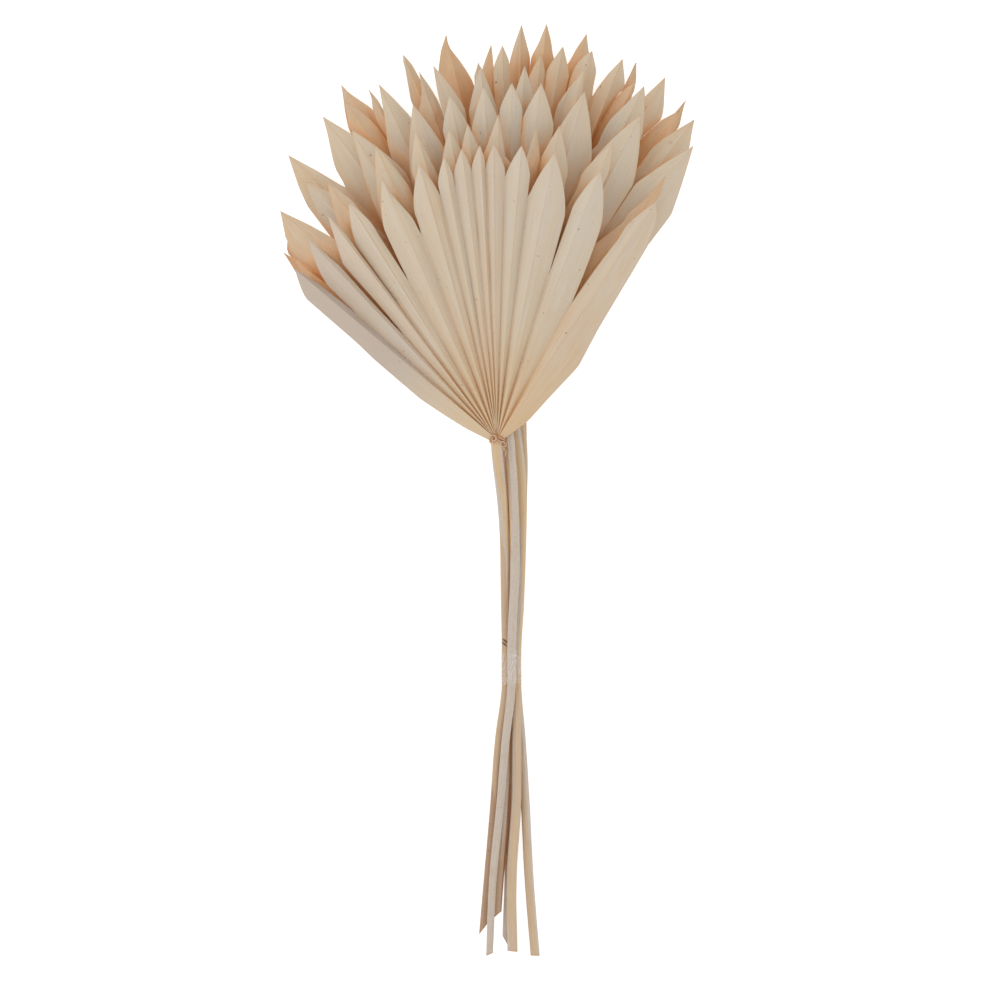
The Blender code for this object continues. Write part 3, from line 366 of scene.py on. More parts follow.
class Finish:
    # one material and its nodes

    def __init__(self, name):
        self.material = bpy.data.materials.new(name)
        self.material.use_nodes = True
        self.nodes = self.material.node_tree.nodes
        self.links = self.material.node_tree.links
        self.shader = self.nodes["Principled BSDF"]

    def add(self, kind, settings=None, inputs=None, output=0):
        node = self.nodes.new(kind)
        for key, value in (settings or {}).items():
            setattr(node, key, value)
        for key, value in (inputs or {}).items():
            self.feed(node.inputs[key], value)
        return Sock(self, node.outputs[output])

    def feed(self, socket, value):
        if isinstance(value, Sock):
            self.links.new(value.socket, socket)
        elif isinstance(value, (tuple, list)) and socket.type == "RGBA":
            socket.default_value = (*value, 1.0)
        else:
            socket.default_value = value

    def attribute(self, name):
        return self.add("ShaderNodeAttribute", {"attribute_name": name}, output="Fac")

    def mix(self, factor, a, b, blend="MIX"):
        return self.add("ShaderNodeMix", {"data_type": "RGBA", "blend_type": blend}, {0: factor, 6: a, 7: b}, output=2)

    def noiseAt(self, place, scale, detail=2.0, roughness=0.5):
        return self.add("ShaderNodeTexNoise", {"noise_dimensions": "3D"},
                        {"Vector": place, "Scale": scale, "Detail": detail, "Roughness": roughness})

    def marked(self, body, place, marks):
        # dark spots and scars, each an oval (x, y, length, width, bearing, strength) in mm and degrees
        for x, y, length, width, bearing, strength in marks:
            oval = self.add("ShaderNodeMapping", {"vector_type": "TEXTURE"},
                            {0: place, "Location": (x * mm, y * mm, 0), "Rotation": (0, 0, math.radians(bearing)),
                             "Scale": (length / 2 * mm, width / 2 * mm, 1000.0)})
            away = self.add("ShaderNodeVectorMath", {"operation": "LENGTH"}, {0: oval}, output=1)
            body = self.mix((1.0 - away).between(0.0, 0.6) * strength, body, palmHues["mark"])
        return body

    def set(self, **values):
        for key, value in values.items():
            self.feed(self.shader.inputs[key.replace("_", " ")], value)


palmHues = {
    "cream": (0.545, 0.490, 0.405),
    "straw": (0.575, 0.462, 0.320),
    "pink": (0.545, 0.455, 0.365),
    "dim": (0.420, 0.345, 0.290),
    "warm": (0.545, 0.360, 0.200),
    "orange": (0.545, 0.285, 0.115),
    "deep": (0.420, 0.165, 0.050),
    "ridge": (0.760, 0.610, 0.430),
    # painted shade: colours of blades where other palm shades them; "shaded" darkens back leaves below their tips
    "shadeWarm": (0.700, 0.470, 0.290),
    "shadeOrange": (0.690, 0.355, 0.150),
    "shadeDeep": (0.760, 0.300, 0.090),
    "shaded": (0.300, 0.150, 0.060),
    "speck": (0.22, 0.10, 0.05),
    "mark": (0.12, 0.065, 0.035),
    "stemPale": (0.535, 0.465, 0.395),
    "stemTan": (0.535, 0.405, 0.285),
    "stemYellow": (0.600, 0.430, 0.245),
    "stemBrown": (0.405, 0.255, 0.160),
    "stemDeep": (0.300, 0.110, 0.040),
}


def leafFinish(name, hue, marks):
    # blades read "across" (mm from the rib), "rim" (mm from a free edge, or 31 less the share of the way from the rib
    # to the seam where two halves are joined), "along" (share of the reach), "shelter" (how covered the place is,
    # which sets the painted shade), the halves' warmth (browner halves: their own tone and painted shade), "tint"
    # and the grain's two places
    h = palmHues
    finish = Finish(name)
    across = finish.attribute("across")
    rim = finish.attribute("rim")
    along = finish.attribute("along")
    shelter = finish.attribute("shelter")
    warmthAndShade = finish.attribute("warmthAndShade")
    tint = finish.attribute("tint")
    grain = finish.add("ShaderNodeCombineXYZ", {},
                       {0: finish.attribute("grainX"), 1: finish.attribute("grainY"), 2: tint * 9.0})
    place = finish.add("ShaderNodeTexCoord", {}, {}, output="Object")
    fine = finish.noiseAt(grain, 1.9, 3.0, 0.6)
    veins = finish.noiseAt(grain, 0.75, 2.0, 0.5)
    broad = finish.noiseAt(grain, 0.22, 2.0, 0.5)
    clouds = finish.noiseAt(place, 34.0, 3.0, 0.55)
    patches = finish.noiseAt(place, 13.0, 2.0, 0.5)
    specks = finish.noiseAt(place, 420.0, 1.0, 0.4)
    closing = 1.0 - along.between(0.05, 0.62)            # towards the hub
    joined = rim.between(20.0, 28.0)
    seamward = (31.0 - rim).clamp() * joined
    body = finish.mix(tint.between(0.15, 0.85), h["cream"], h["pink"])
    body = finish.mix((broad - 0.5).between(-0.12, 0.2) * 0.5 + patches.between(0.45, 0.7) * 0.3 + hue * 1.6, body, h["straw"])
    # browning on the halves and towards the hub: partly the blades' own tone, partly painted shade
    brown = warmthAndShade * 0.75 + closing * 0.50 + (clouds - 0.5) * 0.9 + (broad - 0.5) * 0.8 + (hue - 0.22)
    body = finish.mix(brown.clamp(), body, h["warm"])
    body = finish.mix(warmthAndShade.between(0.55, 1.0) * 0.6, body, h["orange"])
    body = finish.mix(warmthAndShade.between(0.90, 1.2) * 0.6, body, h["deep"])
    body = finish.mix(veins.between(0.50, 0.70) * (0.24 + closing * 0.30), body, h["warm"])
    body = finish.mix(fine.between(0.40, 0.70) * 0.34, body, tuple(min(1.0, c * 1.12) for c in h["cream"]))
    line = (1.0 - abs(veins - 0.5) * 26.0).clamp()        # a few thin threads along the blade
    body = finish.mix(line * (0.16 + closing * 0.25), body, h["orange"])
    rib = (1.0 - across / 0.5).clamp()
    body = finish.mix(rib * (0.08 + patches.between(0.4, 0.6) * 0.15 + hue * 0.5), body, h["orange"])
    edge = (1.0 - rim / 0.42).clamp()
    body = finish.mix(edge * (0.18 + patches.between(0.42, 0.6) * 0.5), body, h["orange"])
    body = finish.mix((0.0 - warmthAndShade).clamp() * along.between(0.12, 0.50), body, h["dim"])
    nearHub = 1.0 - along.between(0.02, 0.12)
    # painted shade: blades under other palm are coloured warm, orange and deep brown where shade falls on them
    paintedShade = shelter + (clouds - 0.5) * 0.18 + (veins - 0.5) * 0.12 + warmthAndShade * 0.08 - nearHub * 0.45
    paintedShade = paintedShade + (1.0 - along.between(0.70, 0.96)) * max(0.0, hue - 0.2) * 1.1 + (hue - 0.22) * 0.4
    if hue == 0:                                         # nothing lies over the nearest leaf
        paintedShade = paintedShade - 0.24 + joined * 0.06
    body = finish.mix(paintedShade.between(0.14, 0.42) * 0.85, body, h["shadeWarm"])
    body = finish.mix(paintedShade.between(0.34, 0.66) * 0.92, body, h["shadeOrange"])
    body = finish.mix(paintedShade.between(0.70, 0.94) * 0.85, body, h["shadeDeep"])
    # painted shade: the back leaves darker below their tips, where they pass under the leaf above
    body = finish.mix((1.0 - along.between(0.66, 1.0)) * max(0.0, hue - 0.2) * 1.2, body, h["shaded"])
    body = finish.mix((1.0 - along.between(0.06, 0.42)) * 0.6, body, h["stemYellow"])
    # painted shade in the creases: the joined seams turn orange, and deep brown in the valleys near the hub
    body = finish.mix(seamward.between(0.70, 1.0) * (0.12 + closing * 0.3), body, h["orange"])
    valleyShade = seamward.between(0.30, 0.85) * (1.0 - along.between(0.04, 0.24))
    body = finish.mix(valleyShade * 0.85, body, h["deep"])
    ridge = (1.0 - across / 0.4).clamp() * (1.0 - along.between(0.10, 0.34))
    body = finish.mix(ridge * 0.7, body, h["ridge"])
    body = finish.mix(specks.between(0.775, 0.80) * 0.5, body, h["speck"])
    body = finish.marked(body, place, marks)
    bump = finish.add("ShaderNodeBump", {}, {"Strength": 0.4, "Distance": 0.0003, "Height": fine * 0.5 + veins})
    finish.set(Base_Color=body, Roughness=0.55 + fine * 0.2, Normal=bump)
    finish.shader.inputs["Specular IOR Level"].default_value = 0.3
    return finish.material


def stemFinish(name, marks):
    # stems read the grain's two places, the bands of colour, "shelter", "shade" and "tint"; "shade" darkens the
    # cut end, and on the knot it is painted shade in the dips and down the curls' sides, over the knot's own tone
    h = palmHues
    finish = Finish(name)
    shade = finish.attribute("shade")
    shelter = finish.attribute("shelter")
    tint = finish.attribute("tint")
    grain = finish.add("ShaderNodeCombineXYZ", {},
                       {0: finish.attribute("grainX"), 1: finish.attribute("grainY"), 2: tint * 7.0})
    place = finish.add("ShaderNodeTexCoord", {}, {}, output="Object")
    fibres = finish.noiseAt(grain, 2.4, 3.0, 0.6)
    threads = finish.noiseAt(grain, 5.5, 2.0, 0.6)
    broad = finish.noiseAt(grain, 0.42, 2.0, 0.5)
    clouds = finish.noiseAt(place, 70.0, 3.0, 0.6)
    specks = finish.noiseAt(place, 1300.0, 2.0, 0.6)
    body = finish.mix(broad.between(0.35, 0.65) * 0.6, h["stemTan"], h["stemYellow"])
    fringe = (fibres - 0.5) * 0.7                         # the bands end in fibres
    weights = {}
    for key in ("yellow", "brown", "deep", "pale"):
        band = finish.attribute(key)
        weights[key] = (band + band * (1.0 - band) * fringe * 4.0).between(0.1, 0.9)
    pale = weights["pale"]
    # the "deep" bands are painted shade, in the cracks between stems and where a stem lies under others
    for key, most in (("yellow", 1.0), ("brown", 1.0), ("pale", 0.92), ("deep", 1.0)):
        body = finish.mix(weights[key] * most, body, h["stem" + key.capitalize()])
    body = finish.mix(fibres.between(0.52, 0.70) * 0.34, body, h["stemPale"])
    body = finish.mix((1.0 - fibres.between(0.30, 0.46)) * 0.38, body, h["stemBrown"])
    body = finish.mix((1.0 - threads.between(0.30, 0.42)) * 0.34, body, h["stemBrown"])
    body = finish.mix(clouds.between(0.55, 0.72) * 0.18, body, h["stemBrown"])
    body = finish.mix(specks.between(0.60, 0.68) * (0.12 + pale * 0.30), body, (0.30, 0.23, 0.18))
    body = finish.mix((1.0 - specks.between(0.34, 0.42)) * pale * 0.25, body, (0.68, 0.62, 0.55))
    # painted shade: stems under other palm turn warm and orange
    paintedShade = shelter + (clouds - 0.5) * 0.2
    body = finish.mix(paintedShade.between(0.45, 0.75) * 0.55, body, h["warm"])
    body = finish.mix(paintedShade.between(0.62, 0.92) * 0.75, body, h["orange"])
    # "shade": painted shade on the knot's dips and the curls' sides, the knot's own darker tone and the cut end
    body = finish.mix(shade, body, h["deep"])
    body = finish.marked(body, place, marks)
    bump = finish.add("ShaderNodeBump", {}, {"Strength": 0.6, "Distance": 0.0004, "Height": fibres + specks * 0.4})
    finish.set(Base_Color=body, Roughness=0.52 + clouds * 0.25, Normal=bump)
    finish.shader.inputs["Specular IOR Level"].default_value = 0.3
    return finish.material


def stackGap(y):
    return stackSettings["gapAtTie"] + stackSettings["gapSlope"] * (y - stackSettings["tieY"])


def midSurface(x, y, placeInStack):
    s = stackSettings
    lowest = s["lowestAtHub"] + s["lowestRise"] * (y - s["tieY"] - s["lowestHubDistance"])
    droop = s["droop"] * ((x - s["droopCentreX"]) / s["droopHalfWidth"]) ** 2
    return lowest + placeInStack * stackGap(y) - droop


def alongLine(points, x):
    # straight-line reading of a list of (x, y) points
    for (x1, y1), (x2, y2) in zip(points, points[1:]):
        if x <= x2:
            return y1 + (y2 - y1) * max(x - x1, 0.0) / (x2 - x1)
    return points[-1][1]


def softLine(points, x):
    # the same, with its corners eased
    return (alongLine(points, x - 1.2) + alongLine(points, x) * 2 + alongLine(points, x + 1.2)) / 4


def rowShares():
    # even rows, closer together at the tip
    rows = bladeSettings["rows"]
    return [(i / rows) * (1.30 - 0.30 * i / rows) for i in range(rows + 1)]


class Fan:
    # where each ridge, seam and free edge of a leaf lies, in mm

    def __init__(self, leaf, placeInStack):
        self.hub = Vector(leaf["hub"])
        self.segments = leaf["segments"]
        self.outerEdges = {-1: leaf["leftEdge"], 1: leaf["rightEdge"]}
        self.tips = leaf["tips"]
        self.edges = leaf["edges"]
        self.roundness = leaf["roundness"]
        self.placeInStack = placeInStack
        self.shares = rowShares()
        self.slitRows = [self.nearestRow(seam) for seam in range(len(self.segments) - 1)]

    def nearestRow(self, seam):
        share = self.segments[seam][4] / self.segments[seam][1]
        return min(range(2, len(self.shares) - 1), key=lambda row: abs(self.shares[row] - share))

    def seamOf(self, segment, side):
        seam = segment if side > 0 else segment - 1
        return seam if 0 <= seam < len(self.segments) - 1 else None

    def seamBearing(self, seam):
        return (self.segments[seam][3] + self.segments[seam + 1][2]) / 2

    def ridgeRadius(self, segment, row):
        inner = bladeSettings["innerRadius"]
        return inner + (self.segments[segment][1] - inner) * self.shares[row]

    def edgeRadius(self, segment, side, row):
        # edge rows are spread so that one of them lies where the slit starts
        seam = self.seamOf(segment, side)
        if seam is None:
            return self.ridgeRadius(segment, row)
        inner = bladeSettings["innerRadius"]
        slit = self.segments[seam][4]
        slitShare = self.shares[self.slitRows[seam]]
        if row <= self.slitRows[seam]:
            return inner + (slit - inner) * self.shares[row] / slitShare
        return slit + (self.segments[segment][1] - slit) * (self.shares[row] - slitShare) / (1 - slitShare)

    def room(self, segment, side, radius):
        # from a midrib to the edge of its segment, as if the tip didn't narrow
        seam = self.seamOf(segment, side)
        if seam is None:
            return softLine(self.outerEdges[side], radius)
        bearing, _, left, right, _ = self.segments[segment]
        seamBearing = self.seamBearing(seam)
        slit = self.segments[seam][4]
        openShare = min(max((radius - slit) / max(bladeSettings["edgeReadAt"] - slit, 6.0), 0.0), 1.0)
        edge = seamBearing + ((right if side > 0 else left) - seamBearing) * openShare
        toSeam = radius * math.tan(math.radians(abs(seamBearing - bearing)))
        toEdge = radius * math.tan(math.radians(max((bearing - edge) * side, 0.0)))
        return min(toEdge, toSeam - bladeSettings["seamClearance"]) if radius > slit else toSeam

    def tipShare(self, segment, side, radius):
        own = self.room(segment, side, bladeSettings["edgeReadAt"])
        other = self.room(segment, -side, bladeSettings["edgeReadAt"])
        length = self.tips.get((segment, side), max(bladeSettings["tipLength"] * (own + max(own, other)) / 2, 8.0))
        past = 1 - min((self.segments[segment][1] - radius) / length, 1.0)
        return 1 - past ** self.roundness

    def halfWidth(self, segment, side, radius):
        seam = self.seamOf(segment, side)
        own = self.edges.get((segment, side))
        if not own or (seam is not None and radius <= self.segments[seam][4]):
            return max(self.room(segment, side, radius) * self.tipShare(segment, side, radius), 0.0)
        if seam is None:
            start = tuple(point for point in self.outerEdges[side] if point[0] < own[0][0])
        else:
            slit = self.segments[seam][4]
            start = ((slit, self.room(segment, side, slit) - bladeSettings["seamClearance"]),)
        return softLine((*start, *own, (self.segments[segment][1], 0.0)), radius)

    def naturalWidth(self, radius):
        # width of half a segment laid flat
        grown = radius * math.tan(math.radians(bladeSettings["halfAngle"]))
        most = bladeSettings["halfWidth"]
        return -math.log(math.exp(-grown * 1.6) + math.exp(-most * 1.6)) / 1.6

    def fold(self, planWidth, width, y, radius):
        s = bladeSettings
        slope = s["mostSlope"] + s["slopeAtHub"] * max(0.0, 1 - radius / s["slopeUntil"])
        drop = math.sqrt(max(width ** 2 - planWidth ** 2, (s["leastFold"] * planWidth) ** 2))
        drop = min(drop, slope * planWidth)
        steep = max(1.0, drop / max(planWidth, 0.1))
        upright = min(bladeSettings["uprightThickness"] * math.sqrt(1 + steep ** 2), bladeSettings["mostUpright"])
        return min(drop, stackGap(y) - upright - bladeSettings["layerClearance"])

    def point(self, bearing, radius, sideways=0.0):
        angle = math.radians(bearing)
        along = Vector((math.cos(angle), math.sin(angle)))
        across = Vector((along.y, -along.x))
        return self.hub + along * radius + across * sideways

    def lifted(self, place, offset):
        return Vector((place.x, place.y, midSurface(place.x, place.y, self.placeInStack) + offset))

    def ridge(self, segment, row):
        radius = self.ridgeRadius(segment, row)
        place = self.point(self.segments[segment][0], radius)
        folds = []
        for side in (-1, 1):
            share = self.tipShare(segment, side, radius)
            planWidth = self.halfWidth(segment, side, radius)
            folds.append(self.fold(planWidth, self.naturalWidth(radius) * share, place.y, radius))
        return self.lifted(place, max(folds) / 2)

    def seam(self, seam, row):
        radius = self.edgeRadius(seam, 1, row)
        place = self.point(self.seamBearing(seam), radius)
        room = (self.room(seam, 1, radius) + self.room(seam + 1, -1, radius)) / 2
        return self.lifted(place, -self.fold(room, self.naturalWidth(radius), place.y, radius) / 2)

    def freeEdge(self, segment, side, row):
        radius = self.edgeRadius(segment, side, row)
        share = self.tipShare(segment, side, radius)
        planWidth = self.halfWidth(segment, side, radius)
        place = self.point(self.segments[segment][0], radius, side * planWidth)
        return self.lifted(place, -self.fold(planWidth, self.naturalWidth(radius) * share, place.y, radius) / 2)

    def edge(self, segment, side, row):
        # place of the half's edge and whether it is free there
        seam = self.seamOf(segment, side)
        if seam is not None and row <= self.slitRows[seam]:
            return self.seam(seam, row), False
        return self.freeEdge(segment, side, row), True


bladeLayers = ("across", "rim", "along", "shelter", "warmthAndShade", "tint", "grainX", "grainY")
stemBandNames = ("pale", "yellow", "brown", "deep")
stemLayers = ("shade", "shelter", "tint", "grainX", "grainY", *stemBandNames)


def buildFan(name, leaf, fan):
    # a flat grid with one column for each strip, slit at the seams and folded into the fan
    s = bladeSettings
    strips = s["strips"]
    count = len(leaf["segments"])
    columns = 2 * count * strips
    rows = s["rows"]
    rnd = random.Random(leaf["seed"])
    tints = [rnd.random() for _ in range(count)]
    bpy.ops.object.select_all(action="DESELECT")
    bpy.ops.mesh.primitive_grid_add(x_subdivisions=columns, y_subdivisions=rows, size=1.0)
    blades = bpy.context.active_object
    blades.name = name
    bm = bmesh.new()
    bm.from_mesh(blades.data)
    for vert in bm.verts:
        vert.co = (round((vert.co.x + 0.5) * columns), round((vert.co.y + 0.5) * rows), 0.0)
    slits = []
    for edge in bm.edges:
        a, b = edge.verts
        column = round(a.co.x)
        if column != round(b.co.x) or column % (2 * strips) or not 0 < column < columns:
            continue
        if min(round(a.co.y), round(b.co.y)) >= fan.slitRows[column // (2 * strips) - 1]:
            slits.append(edge)
    bmesh.ops.split_edges(bm, edges=slits)
    layers = {key: bm.verts.layers.float.new(key) for key in bladeLayers}
    ridges = [[fan.ridge(segment, row) for row in range(rows + 1)] for segment in range(count)]
    borders = {(segment, side): [fan.edge(segment, side, row) for row in range(rows + 1)]
               for segment in range(count) for side in (-1, 1)}
    places = {}
    for vert in bm.verts:
        column, row = round(vert.co.x), round(vert.co.y)
        middle = sum(face.calc_center_median().x for face in vert.link_faces) / len(vert.link_faces)
        segment = int(min(max(middle, 0.0), columns - 0.001) // (2 * strips))
        inside = column - segment * 2 * strips - strips
        side = 1 if inside > 0 else -1
        t = abs(inside) / strips
        share = fan.shares[row]
        ridge = ridges[segment][row]
        border, isFree = borders[segment, side][row] if row < rows else (ridge, True)
        place = ridge.lerp(border, t)
        planWidth = (border - ridge).xy.length
        width = min(planWidth * 1.15 + 0.4, s["halfWidth"])
        size = min(1.0, planWidth / 6.0)
        furrow = noise.noise(Vector((side * t * 5.3 + segment * 7.7, share * 1.6, leaf["seed"] * 1.7)))
        place.z += s["belly"] * math.sin(math.pi * t) * size + s["flute"] * furrow * size * (2.2 if 0 < t < 1 else 0.6)
        if inside == 0:
            place.z += s["ribHeight"] * size
        wave = noise.noise(Vector((place.x * 0.045, place.y * 0.045, leaf["seed"] * 3.1 + segment)))
        place.z += s["waviness"] * wave * min(1.0, share * 2.2) * (0.3 + t)
        place.z = max(place.z, 0.75)
        places[vert] = place * mm
        vert[layers["across"]] = t * width
        vert[layers["rim"]] = (1 - t) * planWidth if isFree else 31.0 - t
        vert[layers["along"]] = share
        warm = leaf["warmAndShadedHalves"].get((segment, side), 0.0)
        if inside == 0:
            warm = (warm + leaf["warmAndShadedHalves"].get((segment, 1), 0.0)) / 2
        vert[layers["warmthAndShade"]] = warm
        vert[layers["tint"]] = tints[segment]
        vert[layers["grainX"]] = segment * 31.0 + side * t * 11.0
        vert[layers["grainY"]] = share * 4.0
    for vert, place in places.items():
        vert.co = place
    bmesh.ops.remove_doubles(bm, verts=bm.verts[:], dist=0.000001)
    bm.to_mesh(blades.data)
    bm.free()
    return blades


def thickenFan(blades):
    bpy.ops.object.select_all(action="DESELECT")
    blades.select_set(True)
    bpy.context.view_layer.objects.active = blades
    solid = blades.modifiers.new("thickness", "SOLIDIFY")
    solid.thickness = bladeSettings["thickness"] * mm
    solid.offset = -1.0
    bpy.ops.object.modifier_apply(modifier="thickness")
    bpy.ops.object.shade_smooth_by_angle(angle=math.radians(24))


def stemRoute(leaf, placeInStack):
    x, y = leaf["hub"]
    hub = Vector((x, y, midSurface(x, y, placeInStack) - hubSettings["lowered"]))
    points = [Vector(p) for p in leaf["stem"]]
    start = points[-1]
    for px, py in leaf["rise"]:
        points.append(Vector((px, py, start.z + (hub.z - start.z) * (py - start.y) / (hub.y - start.y))))
    return points + [hub]


def smoothRoute(points, step):
    # the same curve as the solids' stems: automatic handles, read evenly
    curve = bpy.data.curves.new("route", "CURVE")
    curve.dimensions = "3D"
    curve.resolution_u = 12
    spline = curve.splines.new("BEZIER")
    spline.bezier_points.add(len(points) - 1)
    for knot, place in zip(spline.bezier_points, points):
        knot.co = place
        knot.handle_left_type = knot.handle_right_type = "AUTO"
    route = bpy.data.objects.new("route", curve)
    bpy.context.scene.collection.objects.link(route)
    bpy.context.view_layer.update()
    mesh = route.evaluated_get(bpy.context.evaluated_depsgraph_get()).to_mesh()
    raw = [v.co.copy() for v in mesh.vertices]
    bpy.data.objects.remove(route, do_unlink=True)
    runs = [0.0]
    for a, b in zip(raw, raw[1:]):
        runs.append(runs[-1] + (b - a).length)
    count = max(2, round(runs[-1] / step))
    places = []
    at = 0
    for i in range(count + 1):
        want = runs[-1] * i / count
        while at < len(runs) - 2 and runs[at + 1] < want:
            at += 1
        part = (want - runs[at]) / max(runs[at + 1] - runs[at], 1e-9)
        places.append(raw[at].lerp(raw[at + 1], min(1.0, part)))
    return places, runs[-1]


def roundedProfile(points, around):
    # the angular section with its corners eased
    count = len(points)
    result = []
    for i in range(around):
        at = i * count / around
        k = int(at)
        result.append(Vector(points[k % count]).lerp(Vector(points[(k + 1) % count]), at - k))
    return [(result[i - 1] + p * 6 + result[(i + 1) % around]) / 8 for i, p in enumerate(result)]


def bandWeights(bands, y, t):
    # how far a point at y, t across the stem lies inside the bands of each colour
    soft = 0.12
    weights = dict.fromkeys(stemBandNames, 0.0)
    for hue, strength, stations in bands:
        if not stations[0][0] - 6 < y < stations[-1][0] + 30:
            continue
        start = alongLine([(at, first) for at, first, _ in stations], y)
        end = alongLine([(at, last) for at, _, last in stations], y)
        inside = min((t - start) / soft, (end - t) / soft)
        weights[hue] = max(weights[hue], strength * min(1.0, max(0.0, 0.5 + inside / 2)))
    return weights


def buildStem(name, leaf, placeInStack):
    s = stemSettings
    places, length = smoothRoute(stemRoute(leaf, placeInStack), s["stepLength"])
    neckSize, neckLength = leaf["neck"]
    endSize, endLength = leaf["end"]
    section = roundedProfile(s["profile"], s["around"])
    rnd = random.Random(leaf["seed"] + 50)
    tint = rnd.random()
    bpy.ops.object.select_all(action="DESELECT")
    bpy.ops.mesh.primitive_cylinder_add(vertices=len(section), radius=1.0, depth=1.0, end_fill_type="NGON")
    stem = bpy.context.active_object
    stem.name = name
    bm = bmesh.new()
    layers = {key: bm.verts.layers.float.new(key) for key in stemLayers}
    rings = []
    around = len(section)
    for i, place in enumerate(places):
        ahead = places[min(i + 1, len(places) - 1)] - places[max(i - 1, 0)]
        ahead.normalize()
        right = ahead.cross(Vector((0, 0, 1))).normalized()
        up = right.cross(ahead)
        run = length * i / (len(places) - 1)
        neck = max(0.0, 1 - (length - run) / neckLength)
        end = max(0.0, 1 - run / endLength)
        size = 1 + (neckSize - 1) * neck + (endSize - 1) * end
        slant = leaf["slant"] / s["width"] * max(0.0, 1 - run / s["slantLength"])
        ring = []
        for k, p in enumerate(section):
            angle = math.atan2(p.y, p.x)
            long = noise.noise(Vector((math.cos(angle) * 3.2, math.sin(angle) * 3.2, run * 0.006 + leaf["seed"])))
            knob = 1 + s["groove"] * 1.6 * long + 0.02 * noise.noise(Vector((k * 0.9, run * 0.08, leaf["seed"])))
            co = place + (right * p.x + up * p.y) * size * knob + ahead * slant * size * p.x
            co.z = max(co.z, 0.0)
            vert = bm.verts.new(co * mm)
            vert[layers["shade"]] = 0.25 * max(0.0, 1 - run / 1.2)
            vert[layers["tint"]] = tint
            vert[layers["grainX"]] = 3.2 * p.x + 1.6 * p.y + leaf["seed"] * 3.3
            vert[layers["grainY"]] = run * 0.03
            for hue, weight in bandWeights(leaf["bands"], place.y, p.x / (s["width"] / 2)).items():
                vert[layers[hue]] = weight
            ring.append(vert)
        rings.append(ring)
    for lower, upper in zip(rings, rings[1:]):
        for k in range(around):
            bm.faces.new((lower[k], lower[(k + 1) % around], upper[(k + 1) % around], upper[k]))
    bm.faces.new(rings[0])
    bm.faces.new(rings[-1])
    bmesh.ops.recalc_face_normals(bm, faces=bm.faces[:])
    bm.to_mesh(stem.data)
    bm.free()
    bpy.ops.object.shade_smooth_by_angle(angle=math.radians(30))
    return stem


def sweepCurl(points, thickness):
    # a small tapered roll of skin along the points, in mm, as one tube
    c = curlSettings
    places, length = smoothRoute([Vector(p) for p in points], c["step"])
    bm = bmesh.new()
    shade = bm.verts.layers.float.new("shade")
    rings = []
    for i, place in enumerate(places):
        ahead = (places[min(i + 1, len(places) - 1)] - places[max(i - 1, 0)]).normalized()
        right = ahead.cross(Vector((0, 0, 1))).normalized()
        up = right.cross(ahead)
        share = i / (len(places) - 1)
        size = thickness / 2 * (0.35 + 0.65 * math.sin(math.pi * min(max(share, 0.03), 0.97)) ** 0.5)
        ring = []
        for k in range(c["around"]):
            angle = 2 * math.pi * k / c["around"]
            vert = bm.verts.new((place + right * size * math.cos(angle) + up * size * math.sin(angle)) * mm)
            # pale on top, with painted shade down the sides and underneath
            vert[shade] = min(1.0, 1.15 - 1.15 * max(0.0, math.sin(angle)))
            ring.append(vert)
        rings.append(ring)
    for lower, upper in zip(rings, rings[1:]):
        for k in range(c["around"]):
            bm.faces.new((lower[k], lower[(k + 1) % c["around"]], upper[(k + 1) % c["around"]], upper[k]))
    bm.faces.new(rings[0])
    bm.faces.new(rings[-1])
    bmesh.ops.recalc_face_normals(bm, faces=bm.faces[:])
    return bm


def buildHub(name, leaf, placeInStack):
    # a lumpy knot with the curled ends of the pleats on it
    x, y = leaf["hub"]
    centre = Vector((x, y, midSurface(x, y, placeInStack) - hubSettings["lowered"]))
    axes = hubSettings["semiAxes"]
    bpy.ops.object.select_all(action="DESELECT")
    bpy.ops.mesh.primitive_uv_sphere_add(segments=64, ring_count=40, radius=1.0)
    hub = bpy.context.active_object
    hub.name = name
    bm = bmesh.new()
    bm.from_mesh(hub.data)
    layers = {key: bm.verts.layers.float.new(key) for key in stemLayers}
    for vert in bm.verts:
        co = vert.co.copy()
        rough = noise.noise(co * 2.6 + Vector((leaf["seed"], 0, 0)))
        fine = noise.noise(co * 6.5 + Vector((0, leaf["seed"], 0)))
        swell = 1 + 0.16 * rough + 0.09 * fine
        # painted shade in the knot's dips, over the knot's own darker tone
        vert[layers["shade"]] = max(0.6, min(1.0, 0.95 - 1.0 * fine - 0.6 * rough))
        vert.co = (Vector([c * a * swell for c, a in zip(co, axes)]) + centre) * mm
    bm.to_mesh(hub.data)
    bm.free()
    for points, thickness in curlSettings["curls"]:
        placed = []
        for px, py, lift in points:
            inside = max(0.0, 1 - (px / axes[0]) ** 2 - (py / axes[1]) ** 2)
            placed.append((centre.x + px, centre.y + py, centre.z + axes[2] * math.sqrt(inside) + lift))
        curl = sweepCurl(placed, thickness)
        mesh = bpy.data.meshes.new("curl")
        curl.to_mesh(mesh)
        curl.free()
        piece = bpy.data.objects.new("curl", mesh)
        bpy.context.scene.collection.objects.link(piece)
        bpy.ops.object.select_all(action="DESELECT")
        piece.select_set(True)
        hub.select_set(True)
        bpy.context.view_layer.objects.active = hub
        bpy.ops.object.join()
    hub.data.attributes["tint"].data.foreach_set("value", [0.6] * len(hub.data.vertices))
    for key, at, scale in (("grainX", 0, 1400.0), ("grainY", 1, 700.0)):
        hub.data.attributes[key].data.foreach_set("value", [v.co[at] * scale for v in hub.data.vertices])
    bpy.ops.object.select_all(action="DESELECT")
    hub.select_set(True)
    bpy.context.view_layer.objects.active = hub
    bpy.ops.object.shade_smooth()
    return hub


